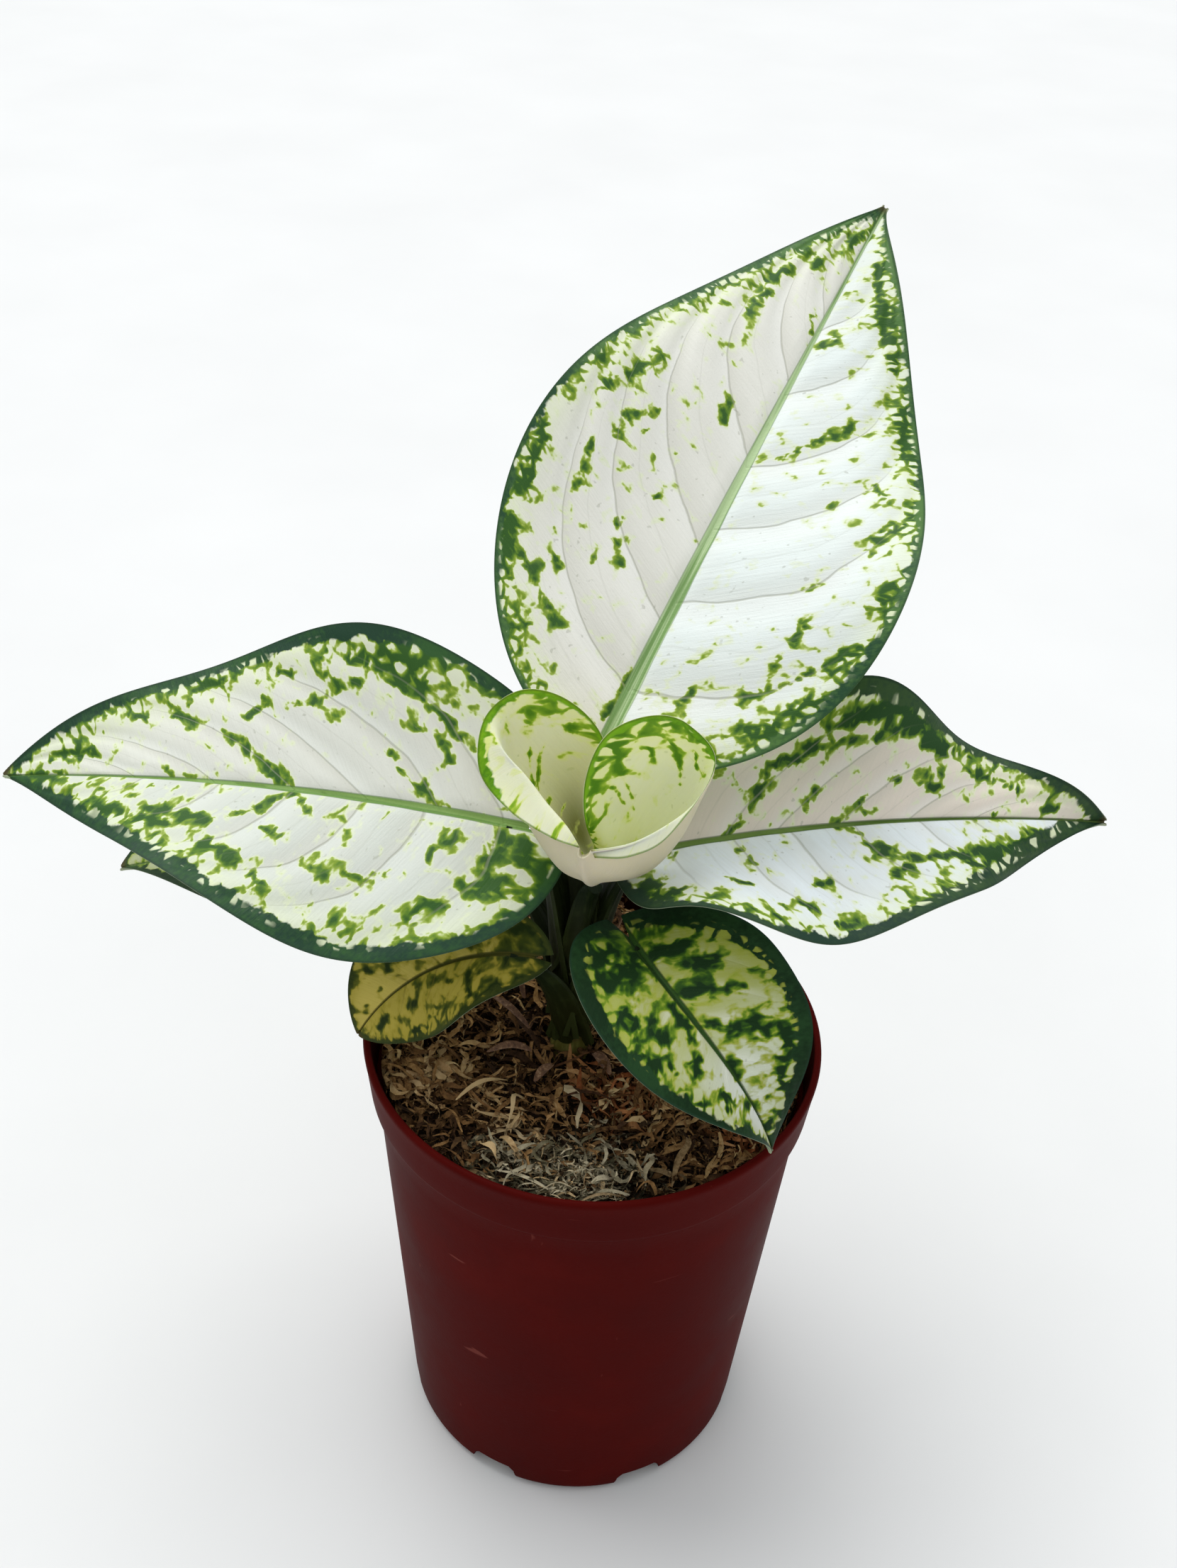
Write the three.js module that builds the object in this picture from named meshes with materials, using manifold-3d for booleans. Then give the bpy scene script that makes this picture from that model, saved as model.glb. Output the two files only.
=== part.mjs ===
// Potted chinese evergreen: a young plant of seven leaves in a plastic nursery pot.
// Millimetres, +Z up, origin at the centre of the pot's flat underside, -Y towards the viewer.
import * as THREE from "three";
import { mergeVertices } from "three/addons/utils/BufferGeometryUtils.js";
import Module from "manifold-3d";

const wasm = await Module();
wasm.setup();

// ---------------------------------------------------------------- driving dimensions
const GAP = 0.3; // clearance between pieces that touch

const POT_HEIGHT = 115;
const RIM_RADIUS = 50;
const COLLAR_HEIGHT = 13;
const COLLAR_FOOT_RADIUS = 48.7;
const COLLAR_STEP = 0.8; // height of the shoulder under the collar
const WALL_TOP_RADIUS = 47.2; // under the collar
const WALL_FOOT_RADIUS = 39.7; // where the wall's line meets the ground
const WALL_THICKNESS = 1.5;
const FLOOR_THICKNESS = 2.2;
const FLOOR_BEVEL = 2; // inside, between wall and floor
const CORNER_RADIUS = 3;
const POT_SIDES = 48;
const DRAIN_COUNT = 7;
const DRAIN_WIDTH = 12;
const DRAIN_HEIGHT = 5.5;
const DRAIN_DEPTH = 4; // inwards from the wall's foot

const MIX_TOP = 99; // top of the potting mix
const MOSS_TOP = 107; // mean height of the loose moss

const STEM_X = -5;
const STEM_Y = 2;
const STEM_RADIUS = 3;
const STEM_COLLAR_RADIUS = 4.1; // where it leaves the moss
const STEM_FOOT = 90;
const STEM_TOP = 131;

const STALK_RADIUS = 2;
const STALK_TIP_RADIUS = 1.3;
const STALK_STEPS = 10;
const STALK_SIDES = 8;
const LEAF_THICKNESS = 0.8;
const MIDRIB_DEPTH = 1.1; // how far the midrib stands out under the blade
const MIDRIB_SPREAD = 0.1; // its width, as a part of the half width
const LOBE_REACH = 0.16; // part of the blade's length over which its base lobes fade out

// Open leaves. Heading is a compass angle, 0 towards +Y and 90 towards +X. Sweep and droop turn the
// midrib evenly along its length. Widths are half widths. Fold lifts a half off the midrib, curl
// bends it on towards its margin, and wave is the height of the margin's undulation.
const OPEN_LEAVES = {
  leaf_tall_back: {
    base: [-2, 10.5, 181.5],
    heading: 33, sweep: -9, rise: 45, droop: 22, length: 141.5, roll: -10, twist: -9, lobe: 3,
    left: {
      width: 43.5, baseTaper: 0.63, tipTaper: 1.14, fold: 9.5, curl: -6,
      wave: -3.4, waves: 1.7, phase: -0.05,
    },
    right: {
      width: 43.5, baseTaper: 0.64, tipTaper: 1.36, fold: 11, curl: -3.5,
      wave: 4.6, waves: 1.97, phase: -0.49,
    },
    joint: { angle: 78, z: 119, climb: 0.45, reach: 6 },
  },
  leaf_left: {
    base: [-15.3, 7, 163.6],
    heading: -89, sweep: 13, rise: 10, droop: 26.5, length: 117.5, roll: 23.5, twist: -20, lobe: 9,
    left: {
      width: 35.8, baseTaper: 0.55, tipTaper: 1.33, fold: 2.5, curl: -10,
      wave: 3.2, waves: 1.57, phase: 0.34,
    },
    right: {
      width: 35.2, baseTaper: 0.49, tipTaper: 0.93, fold: 17.5, curl: 13.5,
      wave: 3.4, waves: 1.63, phase: -0.26,
    },
    joint: { angle: 182, z: 116, climb: 0.75, reach: 6 },
  },
  leaf_right: {
    base: [5, 7, 158.2],
    heading: 84.5, sweep: -10, rise: 14.5, droop: 27, length: 105, roll: -9.5, twist: -34, lobe: 4,
    left: {
      width: 30.5, baseTaper: 0.59, tipTaper: 1.13, fold: 11.5, curl: 6.5,
      wave: -7.5, waves: 2.36, phase: -0.49,
    },
    right: {
      width: 30.2, baseTaper: 0.7, tipTaper: 1.37, fold: 13.5, curl: 7,
      wave: 5.5, waves: 2.18, phase: -0.04,
    },
    joint: { angle: 5, z: 117, climb: 0.7, reach: 6 },
  },
  leaf_front_low: {
    base: [6, -7, 148.5],
    heading: 157, sweep: -58, rise: 8, droop: 83, length: 58.5, roll: -0.5, twist: -14, lobe: 7,
    left: {
      width: 23, baseTaper: 0.77, tipTaper: 1, fold: 16.5, curl: 8.5,
      wave: 1.7, waves: 1.8, phase: -0.06,
    },
    right: {
      width: 19.6, baseTaper: 0.62, tipTaper: 1.24, fold: 6, curl: 0.5,
      wave: 1.4, waves: 1.46, phase: -0.09,
    },
    joint: { angle: -50, z: 114, climb: 0.7, reach: 5 },
  },
  leaf_left_low: {
    base: [-13, -7.5, 141.5],
    heading: -82, sweep: -33, rise: 1, droop: 62, length: 45.5, roll: 18.5, twist: 8, lobe: 4,
    left: {
      width: 14.1, baseTaper: 0.67, tipTaper: 0.67, fold: 3, curl: -1.5,
      wave: 0.9, waves: 1.43, phase: -0.16,
    },
    right: {
      width: 14.7, baseTaper: 0.7, tipTaper: 0.81, fold: 9, curl: 8,
      wave: 1.1, waves: 1.63, phase: 0.03,
    },
    joint: { angle: 237, z: 112, climb: 0.6, reach: 5 },
  },
  leaf_left_under: {
    base: [-22, 13, 150],
    heading: -83, sweep: -2, rise: 0, droop: 22, length: 88, roll: 14, twist: 0, lobe: 2,
    left: {
      width: 25, baseTaper: 0.65, tipTaper: 1.28, fold: 9, curl: 2,
      wave: 0.9, waves: 1.4, phase: -0.11,
    },
    right: {
      width: 25, baseTaper: 0.63, tipTaper: 0.81, fold: 10, curl: 3.5,
      wave: 0.6, waves: 1.46, phase: -0.02,
    },
    joint: { angle: 125, z: 115, climb: 0.6, reach: 10 },
  },
};

// The unfurling leaf: guide curves from its base to its tip.
const YOUNG_GUIDES = {
  openMargin: [
    [-2.4, 4.2, 157], [1.2, 5.2, 172], [-1.4, 7.6, 187.3], [-10, 9, 196.5],
    [-20, 5, 198], [-25.3, -3, 188], [-14, -12, 181.5], [-4.6, -14.2, 175],
  ],
  openBelly: [
    [-2, 3.7, 157], [-5, 5.5, 163], [-9, 5.5, 169], [-14, 5, 175],
    [-19, 1, 176], [-19, -5, 171], [-12, -9, 168], [-4.3, -14.2, 174.8],
  ],
  keel: [
    [-1, 3, 157], [-1, 2, 157.4], [-1.2, 0, 158], [-1.5, -2.5, 159],
    [-2, -5.5, 160.8], [-2.6, -8.5, 163.5], [-3.4, -11.8, 168.5], [-4, -14.2, 174.6],
  ],
  rolledBelly: [
    [0, 3.3, 157], [1.5, 0, 160], [5, 1, 165], [9, 1.5, 168],
    [14, 0, 169], [18, -4, 164], [9, -9, 163], [-3.7, -14.2, 174.8],
  ],
  rolledMargin: [
    [1, 3.5, 157], [-2.2, -3.5, 173], [-4, -1.5, 186], [1.6, 1.5, 194],
    [10.8, 2, 197], [20.2, -3, 190.5], [11, -10.5, 179.5], [-3.4, -14.2, 175],
  ],
};
const YOUNG_STALK = { end: [-1.2, 1, 157.6], radius: 2.7, climb: 0.5, reach: 6 };

const ROOT_COUNT = 6;
const ROOT_RADIUS = 1.5;
const ROOT_TIP_RADIUS = 0.5;
const ROOT_SPREAD = 30;
const ROOT_CROWN_RADIUS = 4.5;
const ROOT_DEEPEST_Z = 15;

// ---------------------------------------------------------------- colours of the pieces
const OXBLOOD = 0x6e241c;
const PEAT_BROWN = 0x2e2118;
const MOSS_TAN = 0x8a7350;
const STEM_OLIVE = 0x8a8a3a;
const ROOT_CREAM = 0xcfc2a2;
const LEAF_COLOURS = {
  leaf_tall_back: 0xe2e6da,
  leaf_left: 0xd3dec8,
  leaf_right: 0xd6dccb,
  leaf_front_low: 0x6d8452,
  leaf_left_low: 0xa0965a,
  leaf_left_under: 0x5c7750,
  leaf_unfurling: 0xc6cf96,
};

// ---------------------------------------------------------------- solid helpers
const degrees = THREE.MathUtils.degToRad;
const lerp = THREE.MathUtils.lerp;
const vec = (x, y, z) => new THREE.Vector3(x, y, z);

// Shared vertices are merged and collapsed triangles dropped, so that a surface closes on itself.
function weld(geometry) {
  const bare = geometry.index ? geometry.toNonIndexed() : geometry;
  for (const name of Object.keys(bare.attributes)) {
    if (name !== "position") bare.deleteAttribute(name);
  }
  const merged = mergeVertices(bare, 1e-4);
  const old = merged.index.array;
  const kept = [];
  for (let i = 0; i < old.length; i += 3) {
    const [a, b, c] = [old[i], old[i + 1], old[i + 2]];
    if (a !== b && b !== c && c !== a) kept.push(a, b, c);
  }
  merged.setIndex(kept);
  return merged;
}

function toSolid(geometry) {
  const welded = weld(geometry);
  const vertProperties = new Float32Array(welded.attributes.position.array);
  const triVerts = new Uint32Array(welded.index.array);
  return new wasm.Manifold(new wasm.Mesh({ numProp: 3, vertProperties, triVerts }));
}

function toGeometry(solid) {
  const mesh = solid.getMesh();
  const geometry = new THREE.BufferGeometry();
  geometry.setAttribute("position", new THREE.BufferAttribute(mesh.vertProperties, 3));
  geometry.setIndex(new THREE.BufferAttribute(mesh.triVerts, 1));
  geometry.computeVertexNormals();
  return geometry;
}

// A closed skin over rings of points. Each end is closed by a strip across its ring.
function loft(rings) {
  const count = rings[0].length;
  const positions = rings.flat().flatMap((p) => [p.x, p.y, p.z]);
  const index = [];
  for (let r = 0; r + 1 < rings.length; r += 1) {
    for (let k = 0; k < count; k += 1) {
      const a = r * count + k;
      const b = r * count + ((k + 1) % count);
      index.push(a, b, a + count, b, b + count, a + count);
    }
  }
  const last = (rings.length - 1) * count;
  for (let k = 0; k + 1 < count / 2; k += 1) {
    const far = count - 1 - k;
    index.push(k, far, k + 1, k + 1, far, far - 1);
    index.push(last + k, last + k + 1, last + far, last + k + 1, last + far - 1, last + far);
  }
  const geometry = new THREE.BufferGeometry();
  geometry.setAttribute("position", new THREE.Float32BufferAttribute(positions, 3));
  geometry.setIndex(index);
  return geometry;
}

// A round rod along a curve, its radius given by a function of the place along it.
function rod(curve, radiusAt, steps, sides) {
  const frames = curve.computeFrenetFrames(steps, false);
  const rings = [];
  for (let i = 0; i <= steps; i += 1) {
    const centre = curve.getPointAt(i / steps);
    const ring = [];
    for (let k = 0; k < sides; k += 1) {
      const angle = (2 * Math.PI * (k + 0.5)) / sides;
      const point = centre.clone();
      point.addScaledVector(frames.normals[i], Math.cos(angle) * radiusAt(i / steps));
      point.addScaledVector(frames.binormals[i], Math.sin(angle) * radiusAt(i / steps));
      ring.push(point);
    }
    rings.push(ring);
  }
  return loft(rings);
}

function lathe(profile, sides) {
  return new THREE.LatheGeometry(profile.map(([r, z]) => new THREE.Vector2(r, z)), sides)
    .rotateX(Math.PI / 2);
}

const plant = new THREE.Group();

function addPiece(name, geometry, color, roughness) {
  const material = new THREE.MeshStandardMaterial({ color, roughness, metalness: 0 });
  const mesh = new THREE.Mesh(geometry, material);
  mesh.name = name;
  plant.add(mesh);
}

// ---------------------------------------------------------------- pot
const COLLAR_FOOT = POT_HEIGHT - COLLAR_HEIGHT;
const SHOULDER = COLLAR_FOOT + COLLAR_STEP;

// Outside radius of the pot at a height.
function potRadius(z) {
  if (z >= SHOULDER) {
    return lerp(COLLAR_FOOT_RADIUS, RIM_RADIUS, (z - SHOULDER) / (POT_HEIGHT - SHOULDER));
  }
  return lerp(WALL_FOOT_RADIUS, WALL_TOP_RADIUS, Math.min(z / COLLAR_FOOT, 1));
}

const cavityRadius = (z) => potRadius(z) - WALL_THICKNESS;

function makePot() {
  const profile = [[0, 0]];
  const arcSteps = 4;
  for (let i = 0; i <= arcSteps; i += 1) {
    const angle = degrees((90 * i) / arcSteps);
    const z = CORNER_RADIUS * (1 - Math.cos(angle));
    profile.push([potRadius(z) - CORNER_RADIUS * (1 - Math.sin(angle)), z]);
  }
  for (const z of [COLLAR_FOOT, SHOULDER, POT_HEIGHT]) {
    profile.push([potRadius(z), z]);
  }
  for (const z of [POT_HEIGHT, SHOULDER, COLLAR_FOOT, FLOOR_THICKNESS + FLOOR_BEVEL]) {
    profile.push([cavityRadius(z), z]);
  }
  profile.push([cavityRadius(FLOOR_THICKNESS) - FLOOR_BEVEL, FLOOR_THICKNESS]);
  profile.push([0, FLOOR_THICKNESS]);
  let pot = toSolid(lathe(profile, POT_SIDES));
  for (let i = 0; i < DRAIN_COUNT; i += 1) {
    const slot = new THREE.BoxGeometry(DRAIN_WIDTH, 2 * DRAIN_DEPTH, 2 * DRAIN_HEIGHT)
      .translate(0, -WALL_FOOT_RADIUS, 0)
      .rotateZ(degrees((360 * (i + 0.5)) / DRAIN_COUNT));
    pot = pot.subtract(toSolid(slot));
  }
  return toGeometry(pot);
}

addPiece("pot", makePot(), OXBLOOD, 0.45);

// ---------------------------------------------------------------- stem and roots
// The short cane stands in the middle of the mix and carries a leaf at each joint.
function stemProfile(extra) {
  return [
    [0, STEM_FOOT - extra],
    [STEM_RADIUS + extra, STEM_FOOT - extra],
    [STEM_COLLAR_RADIUS + extra, MIX_TOP - 3],
    [STEM_COLLAR_RADIUS + extra, MOSS_TOP + 2],
    [STEM_RADIUS + extra, MOSS_TOP + 6],
    [STEM_RADIUS + extra, STEM_TOP],
    [0, STEM_TOP + extra],
  ];
}

function stemBody(extra) {
  return lathe(stemProfile(extra), 12).translate(STEM_X, STEM_Y, 0);
}

addPiece("stem", weld(stemBody(0)), STEM_OLIVE, 0.5);

const CROWN_TOP = STEM_FOOT - GAP;

function rootPath(i, extra) {
  const angle = degrees((360 * i) / ROOT_COUNT + 20);
  const reach = ROOT_SPREAD - 4 * (i % 2);
  const tipZ = ROOT_DEEPEST_Z + 9 * (i % 3);
  const out = vec(Math.cos(angle), Math.sin(angle), 0);
  const crown = vec(STEM_X, STEM_Y, CROWN_TOP - ROOT_CROWN_RADIUS / 2);
  return new THREE.CubicBezierCurve3(
    crown,
    crown.clone().addScaledVector(out, 0.6 * reach),
    vec(0, 0, tipZ + 40).addScaledVector(out, reach),
    vec(0, 0, tipZ - extra).addScaledVector(out, reach - 2),
  );
}

// The roots with their skin moved outwards by a distance, which makes the channels in the mix.
function rootBody(extra) {
  const crownProfile = [
    [0, CROWN_TOP - 2 * ROOT_CROWN_RADIUS - extra],
    [ROOT_CROWN_RADIUS + extra, CROWN_TOP - ROOT_CROWN_RADIUS],
    [STEM_RADIUS - 0.6 + extra, CROWN_TOP + extra],
    [0, CROWN_TOP + extra],
  ];
  let body = toSolid(lathe(crownProfile, 12).translate(STEM_X, STEM_Y, 0));
  for (let i = 0; i < ROOT_COUNT; i += 1) {
    const radiusAt = (s) => lerp(ROOT_RADIUS, ROOT_TIP_RADIUS, s) + extra;
    body = body.add(toSolid(rod(rootPath(i, extra), radiusAt, 8, 6)));
  }
  return body;
}

addPiece("roots", toGeometry(rootBody(0)), ROOT_CREAM, 0.7);

// ---------------------------------------------------------------- potting mix and moss
function makeMix() {
  const low = FLOOR_THICKNESS + GAP;
  const bevelTop = low + FLOOR_BEVEL;
  const profile = [
    [0, low],
    [cavityRadius(low) - FLOOR_BEVEL - GAP, low],
    [cavityRadius(bevelTop) - GAP, bevelTop],
    [cavityRadius(MIX_TOP) - GAP, MIX_TOP],
    [0, MIX_TOP],
  ];
  const hole = toSolid(stemBody(GAP)).add(rootBody(GAP));
  return toGeometry(toSolid(lathe(profile, POT_SIDES)).subtract(hole));
}

addPiece("potting_mix", makeMix(), PEAT_BROWN, 0.95);

// Height of the moss over its mean, at an angle and at a part (0 to 1) of the way to the pot wall.
function mossLump(angle, part) {
  const broad = 1.1 * Math.sin(3 * angle + 1) * part;
  const fine = 0.9 * Math.sin(7 * angle + 0.5) * Math.sin(Math.PI * part);
  const frontBank = 1.2 * Math.max(0, -Math.sin(angle)) * part;
  return broad + fine + frontBank;
}

function makeMoss() {
  const low = MIX_TOP + GAP;
  const inner = STEM_COLLAR_RADIUS + GAP;
  const edge = cavityRadius(low) - GAP;
  const topParts = [0, 0.3, 0.55, 0.8, 1];
  const rings = [];
  for (let i = 0; i < POT_SIDES; i += 1) {
    const angle = (2 * Math.PI * i) / POT_SIDES;
    const at = (part, z) => {
      const x = lerp(STEM_X + inner * Math.cos(angle), edge * Math.cos(angle), part);
      const y = lerp(STEM_Y + inner * Math.sin(angle), edge * Math.sin(angle), part);
      return vec(x, y, z);
    };
    const top = topParts.map((part) => at(part, MOSS_TOP + mossLump(angle, part)));
    rings.push([at(0, low), ...top, at(1, low)]);
  }
  const count = rings[0].length;
  const index = [];
  for (let r = 0; r < POT_SIDES; r += 1) {
    const next = (r + 1) % POT_SIDES;
    for (let k = 0; k < count; k += 1) {
      const up = (k + 1) % count;
      const [a, b] = [r * count + k, next * count + k];
      const [c, d] = [r * count + up, next * count + up];
      index.push(a, c, b, b, c, d);
    }
  }
  const positions = rings.flat().flatMap((p) => [p.x, p.y, p.z]);
  const geometry = new THREE.BufferGeometry();
  geometry.setAttribute("position", new THREE.Float32BufferAttribute(positions, 3));
  geometry.setIndex(index);
  return geometry;
}

addPiece("moss", makeMoss(), MOSS_TAN, 0.95);

// ---------------------------------------------------------------- leaves
// A blade point is given by a place t along the midrib (0 base, 1 tip) and a place v across it
// (-1 left margin, 0 midrib, 1 right margin, as seen from above looking from base to tip).

function direction(heading, rise) {
  const [h, e] = [degrees(heading), degrees(rise)];
  return vec(Math.cos(e) * Math.sin(h), Math.cos(e) * Math.cos(h), Math.sin(e));
}

const MIDRIB_STEPS = 40;

// The midrib turns evenly from its first heading and rise to its last.
function midribPoint(leaf, t) {
  const point = vec(...leaf.base);
  const whole = t * MIDRIB_STEPS;
  for (let i = 0; i < whole; i += 1) {
    const part = Math.min(1, whole - i);
    const middle = (i + part / 2) / MIDRIB_STEPS;
    const along = direction(leaf.heading + leaf.sweep * middle, leaf.rise - leaf.droop * middle);
    point.addScaledVector(along, (part * leaf.length) / MIDRIB_STEPS);
  }
  return point;
}

// Half width of one side: zero at both ends, its fullest where the two tapers balance.
function halfWidth(side, t) {
  const peak = side.baseTaper / (side.baseTaper + side.tipTaper);
  const shape = (s) => s ** side.baseTaper * (1 - s) ** side.tipTaper;
  return (side.width * shape(t)) / shape(peak);
}

function bladePoint(leaf, t, v) {
  const along = direction(leaf.heading + leaf.sweep * t, leaf.rise - leaf.droop * t);
  const across = direction(leaf.heading + leaf.sweep * t + 90, 0);
  const up = across.clone().cross(along);
  const roll = degrees(leaf.roll + leaf.twist * t);
  const side = v < 0 ? leaf.left : leaf.right;
  const u = Math.abs(v);
  const width = halfWidth(side, t);
  const lean = degrees(side.fold + (side.curl * u) / 2);
  const outwards = Math.sign(v) * u * width * Math.cos(lean);
  const lift = u * width * Math.sin(lean) + u * u * Math.sqrt(Math.sin(Math.PI * t))
    * side.wave * Math.sin(2 * Math.PI * (side.waves * t + side.phase));
  const lobe = leaf.lobe * u * Math.exp(-((t / LOBE_REACH) ** 2));
  return midribPoint(leaf, t)
    .addScaledVector(along, -lobe)
    .addScaledVector(across, outwards * Math.cos(roll) - lift * Math.sin(roll))
    .addScaledVector(up, outwards * Math.sin(roll) + lift * Math.cos(roll));
}

// A thin shell under a blade surface, thicker along the midrib.
function shell(pointAt, tStops, vStops) {
  const step = 1e-3;
  const underside = (t, v) => {
    const alongT = pointAt(t + step, v).sub(pointAt(t - step, v));
    const alongV = pointAt(t, v + step).sub(pointAt(t, v - step));
    const normal = alongV.cross(alongT).normalize();
    const rib = MIDRIB_DEPTH * Math.exp(-((v / MIDRIB_SPREAD) ** 2)) * (1 - 0.7 * t);
    return pointAt(t, v).addScaledVector(normal, -LEAF_THICKNESS - rib);
  };
  const rings = tStops.map((t) => {
    const top = vStops.map((v) => pointAt(t, v));
    const under = vStops.map((v) => underside(t, v)).reverse();
    return [...top, ...under];
  });
  return loft(rings);
}

// Stops from a low to a high value, closer together at both ends.
function easedStops(low, high, count) {
  const stops = [];
  for (let i = 0; i <= count; i += 1) {
    stops.push(lerp(low, high, (1 - Math.cos((Math.PI * i) / count)) / 2));
  }
  return stops;
}

// The stalk climbs beside the stem from its foot and bends into the blade's midrib.
function stalk(foot, radius, end, along, bend) {
  const up = vec(-along.x * along.z, -along.y * along.z, along.x ** 2 + along.y ** 2).normalize();
  const tip = end.clone().addScaledVector(up, -STALK_TIP_RADIUS).addScaledVector(along, 3);
  const climb = (tip.z - foot.z) * bend.climb;
  const curve = new THREE.CubicBezierCurve3(
    foot,
    foot.clone().add(vec(0, 0, climb)),
    tip.clone().addScaledVector(along, -bend.reach),
    tip,
  );
  const radiusAt = (s) => lerp(radius, STALK_TIP_RADIUS, s) * Math.min(1, 0.6 + 6 * s);
  return rod(curve, radiusAt, STALK_STEPS, STALK_SIDES);
}

const V_STOPS = [-1, -0.72, -0.4, -0.12, 0, 0.12, 0.4, 0.72, 1];
const T_COUNT = 16;

function makeLeaf(leaf) {
  const tStops = easedStops(0.012, 0.985, T_COUNT);
  const blade = shell((t, v) => bladePoint(leaf, t, v), tStops, V_STOPS);
  const angle = degrees(leaf.joint.angle);
  const ring = STEM_RADIUS + GAP + STALK_RADIUS;
  const foot = vec(Math.cos(angle), Math.sin(angle), 0)
    .multiplyScalar(ring)
    .add(vec(STEM_X, STEM_Y, leaf.joint.z));
  const along = direction(leaf.heading, leaf.rise);
  const stem = stalk(foot, STALK_RADIUS, vec(...leaf.base), along, leaf.joint);
  return toGeometry(toSolid(blade).add(toSolid(stem)));
}

for (const [name, leaf] of Object.entries(OPEN_LEAVES)) {
  addPiece(name, makeLeaf(leaf), LEAF_COLOURS[name], 0.4);
}

// ---------------------------------------------------------------- unfurling leaf
// The newest leaf is still a scroll: its keel points at the viewer, and each half rises from the
// keel into a lobe, one laid open and one still rolled.
const guideCurves = {};
for (const [name, points] of Object.entries(YOUNG_GUIDES)) {
  guideCurves[name] = new THREE.CatmullRomCurve3(points.map((p) => vec(...p)));
}

// Across each half the surface bends from the keel through the belly to the margin.
function youngPoint(t, v) {
  const u = Math.abs(v);
  const keel = guideCurves.keel.getPoint(t);
  const belly = guideCurves[v < 0 ? "rolledBelly" : "openBelly"].getPoint(t);
  const margin = guideCurves[v < 0 ? "rolledMargin" : "openMargin"].getPoint(t);
  return keel.multiplyScalar((1 - u) ** 2)
    .addScaledVector(belly, 2 * u * (1 - u))
    .addScaledVector(margin, u * u);
}

const YOUNG_ROWS = 20;
const YOUNG_V_STOPS = [-1, -0.8, -0.6, -0.4, -0.2, 0, 0.2, 0.4, 0.6, 0.8, 1];

function makeYoungLeaf() {
  const tStops = [];
  for (let i = 0; i <= YOUNG_ROWS; i += 1) {
    tStops.push(lerp(0.01, 0.985, i / YOUNG_ROWS));
  }
  const blade = shell(youngPoint, tStops, YOUNG_V_STOPS);
  const foot = vec(STEM_X, STEM_Y, STEM_TOP + GAP);
  const end = vec(...YOUNG_STALK.end);
  const stem = stalk(foot, YOUNG_STALK.radius, end, direction(180, 20), YOUNG_STALK);
  return toGeometry(toSolid(blade).add(toSolid(stem)));
}

addPiece("leaf_unfurling", makeYoungLeaf(), LEAF_COLOURS.leaf_unfurling, 0.4);

export default plant;
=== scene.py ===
import math

import bpy
import numpy as np
from mathutils import Matrix, Vector


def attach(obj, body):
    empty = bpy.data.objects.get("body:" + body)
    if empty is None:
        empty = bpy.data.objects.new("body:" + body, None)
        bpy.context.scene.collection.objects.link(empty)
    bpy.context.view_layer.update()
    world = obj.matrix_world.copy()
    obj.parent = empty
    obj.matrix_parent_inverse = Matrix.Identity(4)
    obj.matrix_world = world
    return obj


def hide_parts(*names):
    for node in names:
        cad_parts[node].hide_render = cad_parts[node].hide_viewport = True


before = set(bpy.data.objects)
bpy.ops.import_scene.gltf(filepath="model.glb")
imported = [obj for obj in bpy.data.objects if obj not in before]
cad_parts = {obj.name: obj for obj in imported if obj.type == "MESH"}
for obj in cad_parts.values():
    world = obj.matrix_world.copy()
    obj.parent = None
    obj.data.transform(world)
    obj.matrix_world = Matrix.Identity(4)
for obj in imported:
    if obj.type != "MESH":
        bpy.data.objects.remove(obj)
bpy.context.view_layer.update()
MM = 0.001

# ------------------------------------------------------------------ view, light and floor
# The camera stands in front of the plant and looks down on it. The light is the soft light of a
# studio: a surround that is brightest overhead, and one very wide lamp high at the back left.
camera = bpy.data.objects.new("camera", bpy.data.cameras.new("camera"))
camera.data.lens = 42.3
camera.data.sensor_width = 36.0
camera.data.clip_start = 0.01
camera.data.clip_end = 60.0
view_from = Vector((0.0, -290.42, 398.73)) * MM
view_right = Vector((0.99802, 0.04574, 0.04328)).normalized()
view_ahead = Vector((-0.01067, 0.80021, -0.59963)).normalized()
view_up = view_right.cross(view_ahead).normalized()
view_turn = Matrix((view_right, view_up, -view_ahead)).transposed().to_4x4()
camera.matrix_world = Matrix.Translation(view_from) @ view_turn
bpy.context.scene.collection.objects.link(camera)
bpy.context.scene.camera = camera
bpy.context.scene.view_settings.view_transform = "Standard"


def set_range(node, low, high, at_low, at_high):
    """The two limits of a range node, and what it gives at each."""
    for key, level in zip(("From Min", "From Max", "To Min", "To Max"), (low, high, at_low, at_high)):
        node.inputs[key].default_value = level


surround = bpy.data.worlds.new("surround")
surround.use_nodes = True
sky = surround.node_tree
sky_seat = sky.nodes.new("ShaderNodeTexCoord")
sky_split = sky.nodes.new("ShaderNodeSeparateXYZ")
sky_rise = sky.nodes.new("ShaderNodeMapRange")
set_range(sky_rise, 0.0, 0.9, 0.20, 0.98)
sky.links.new(sky_seat.outputs["Generated"], sky_split.inputs["Vector"])
sky.links.new(sky_split.outputs["Z"], sky_rise.inputs["Value"])
sky.links.new(sky_rise.outputs["Result"], sky.nodes["Background"].inputs["Strength"])
sky.nodes["Background"].inputs["Color"].default_value = (0.95, 0.98, 1.0, 1.0)
bpy.context.scene.world = surround

wide_sun = bpy.data.objects.new("wide_sun", bpy.data.lights.new("wide_sun", "SUN"))
wide_sun.data.energy = 1.55
wide_sun.data.angle = math.radians(50)
wide_sun.rotation_euler = Vector((0.28, -0.36, -0.9)).to_track_quat("-Z", "Y").to_euler()
bpy.context.scene.collection.objects.link(wide_sun)


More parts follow.
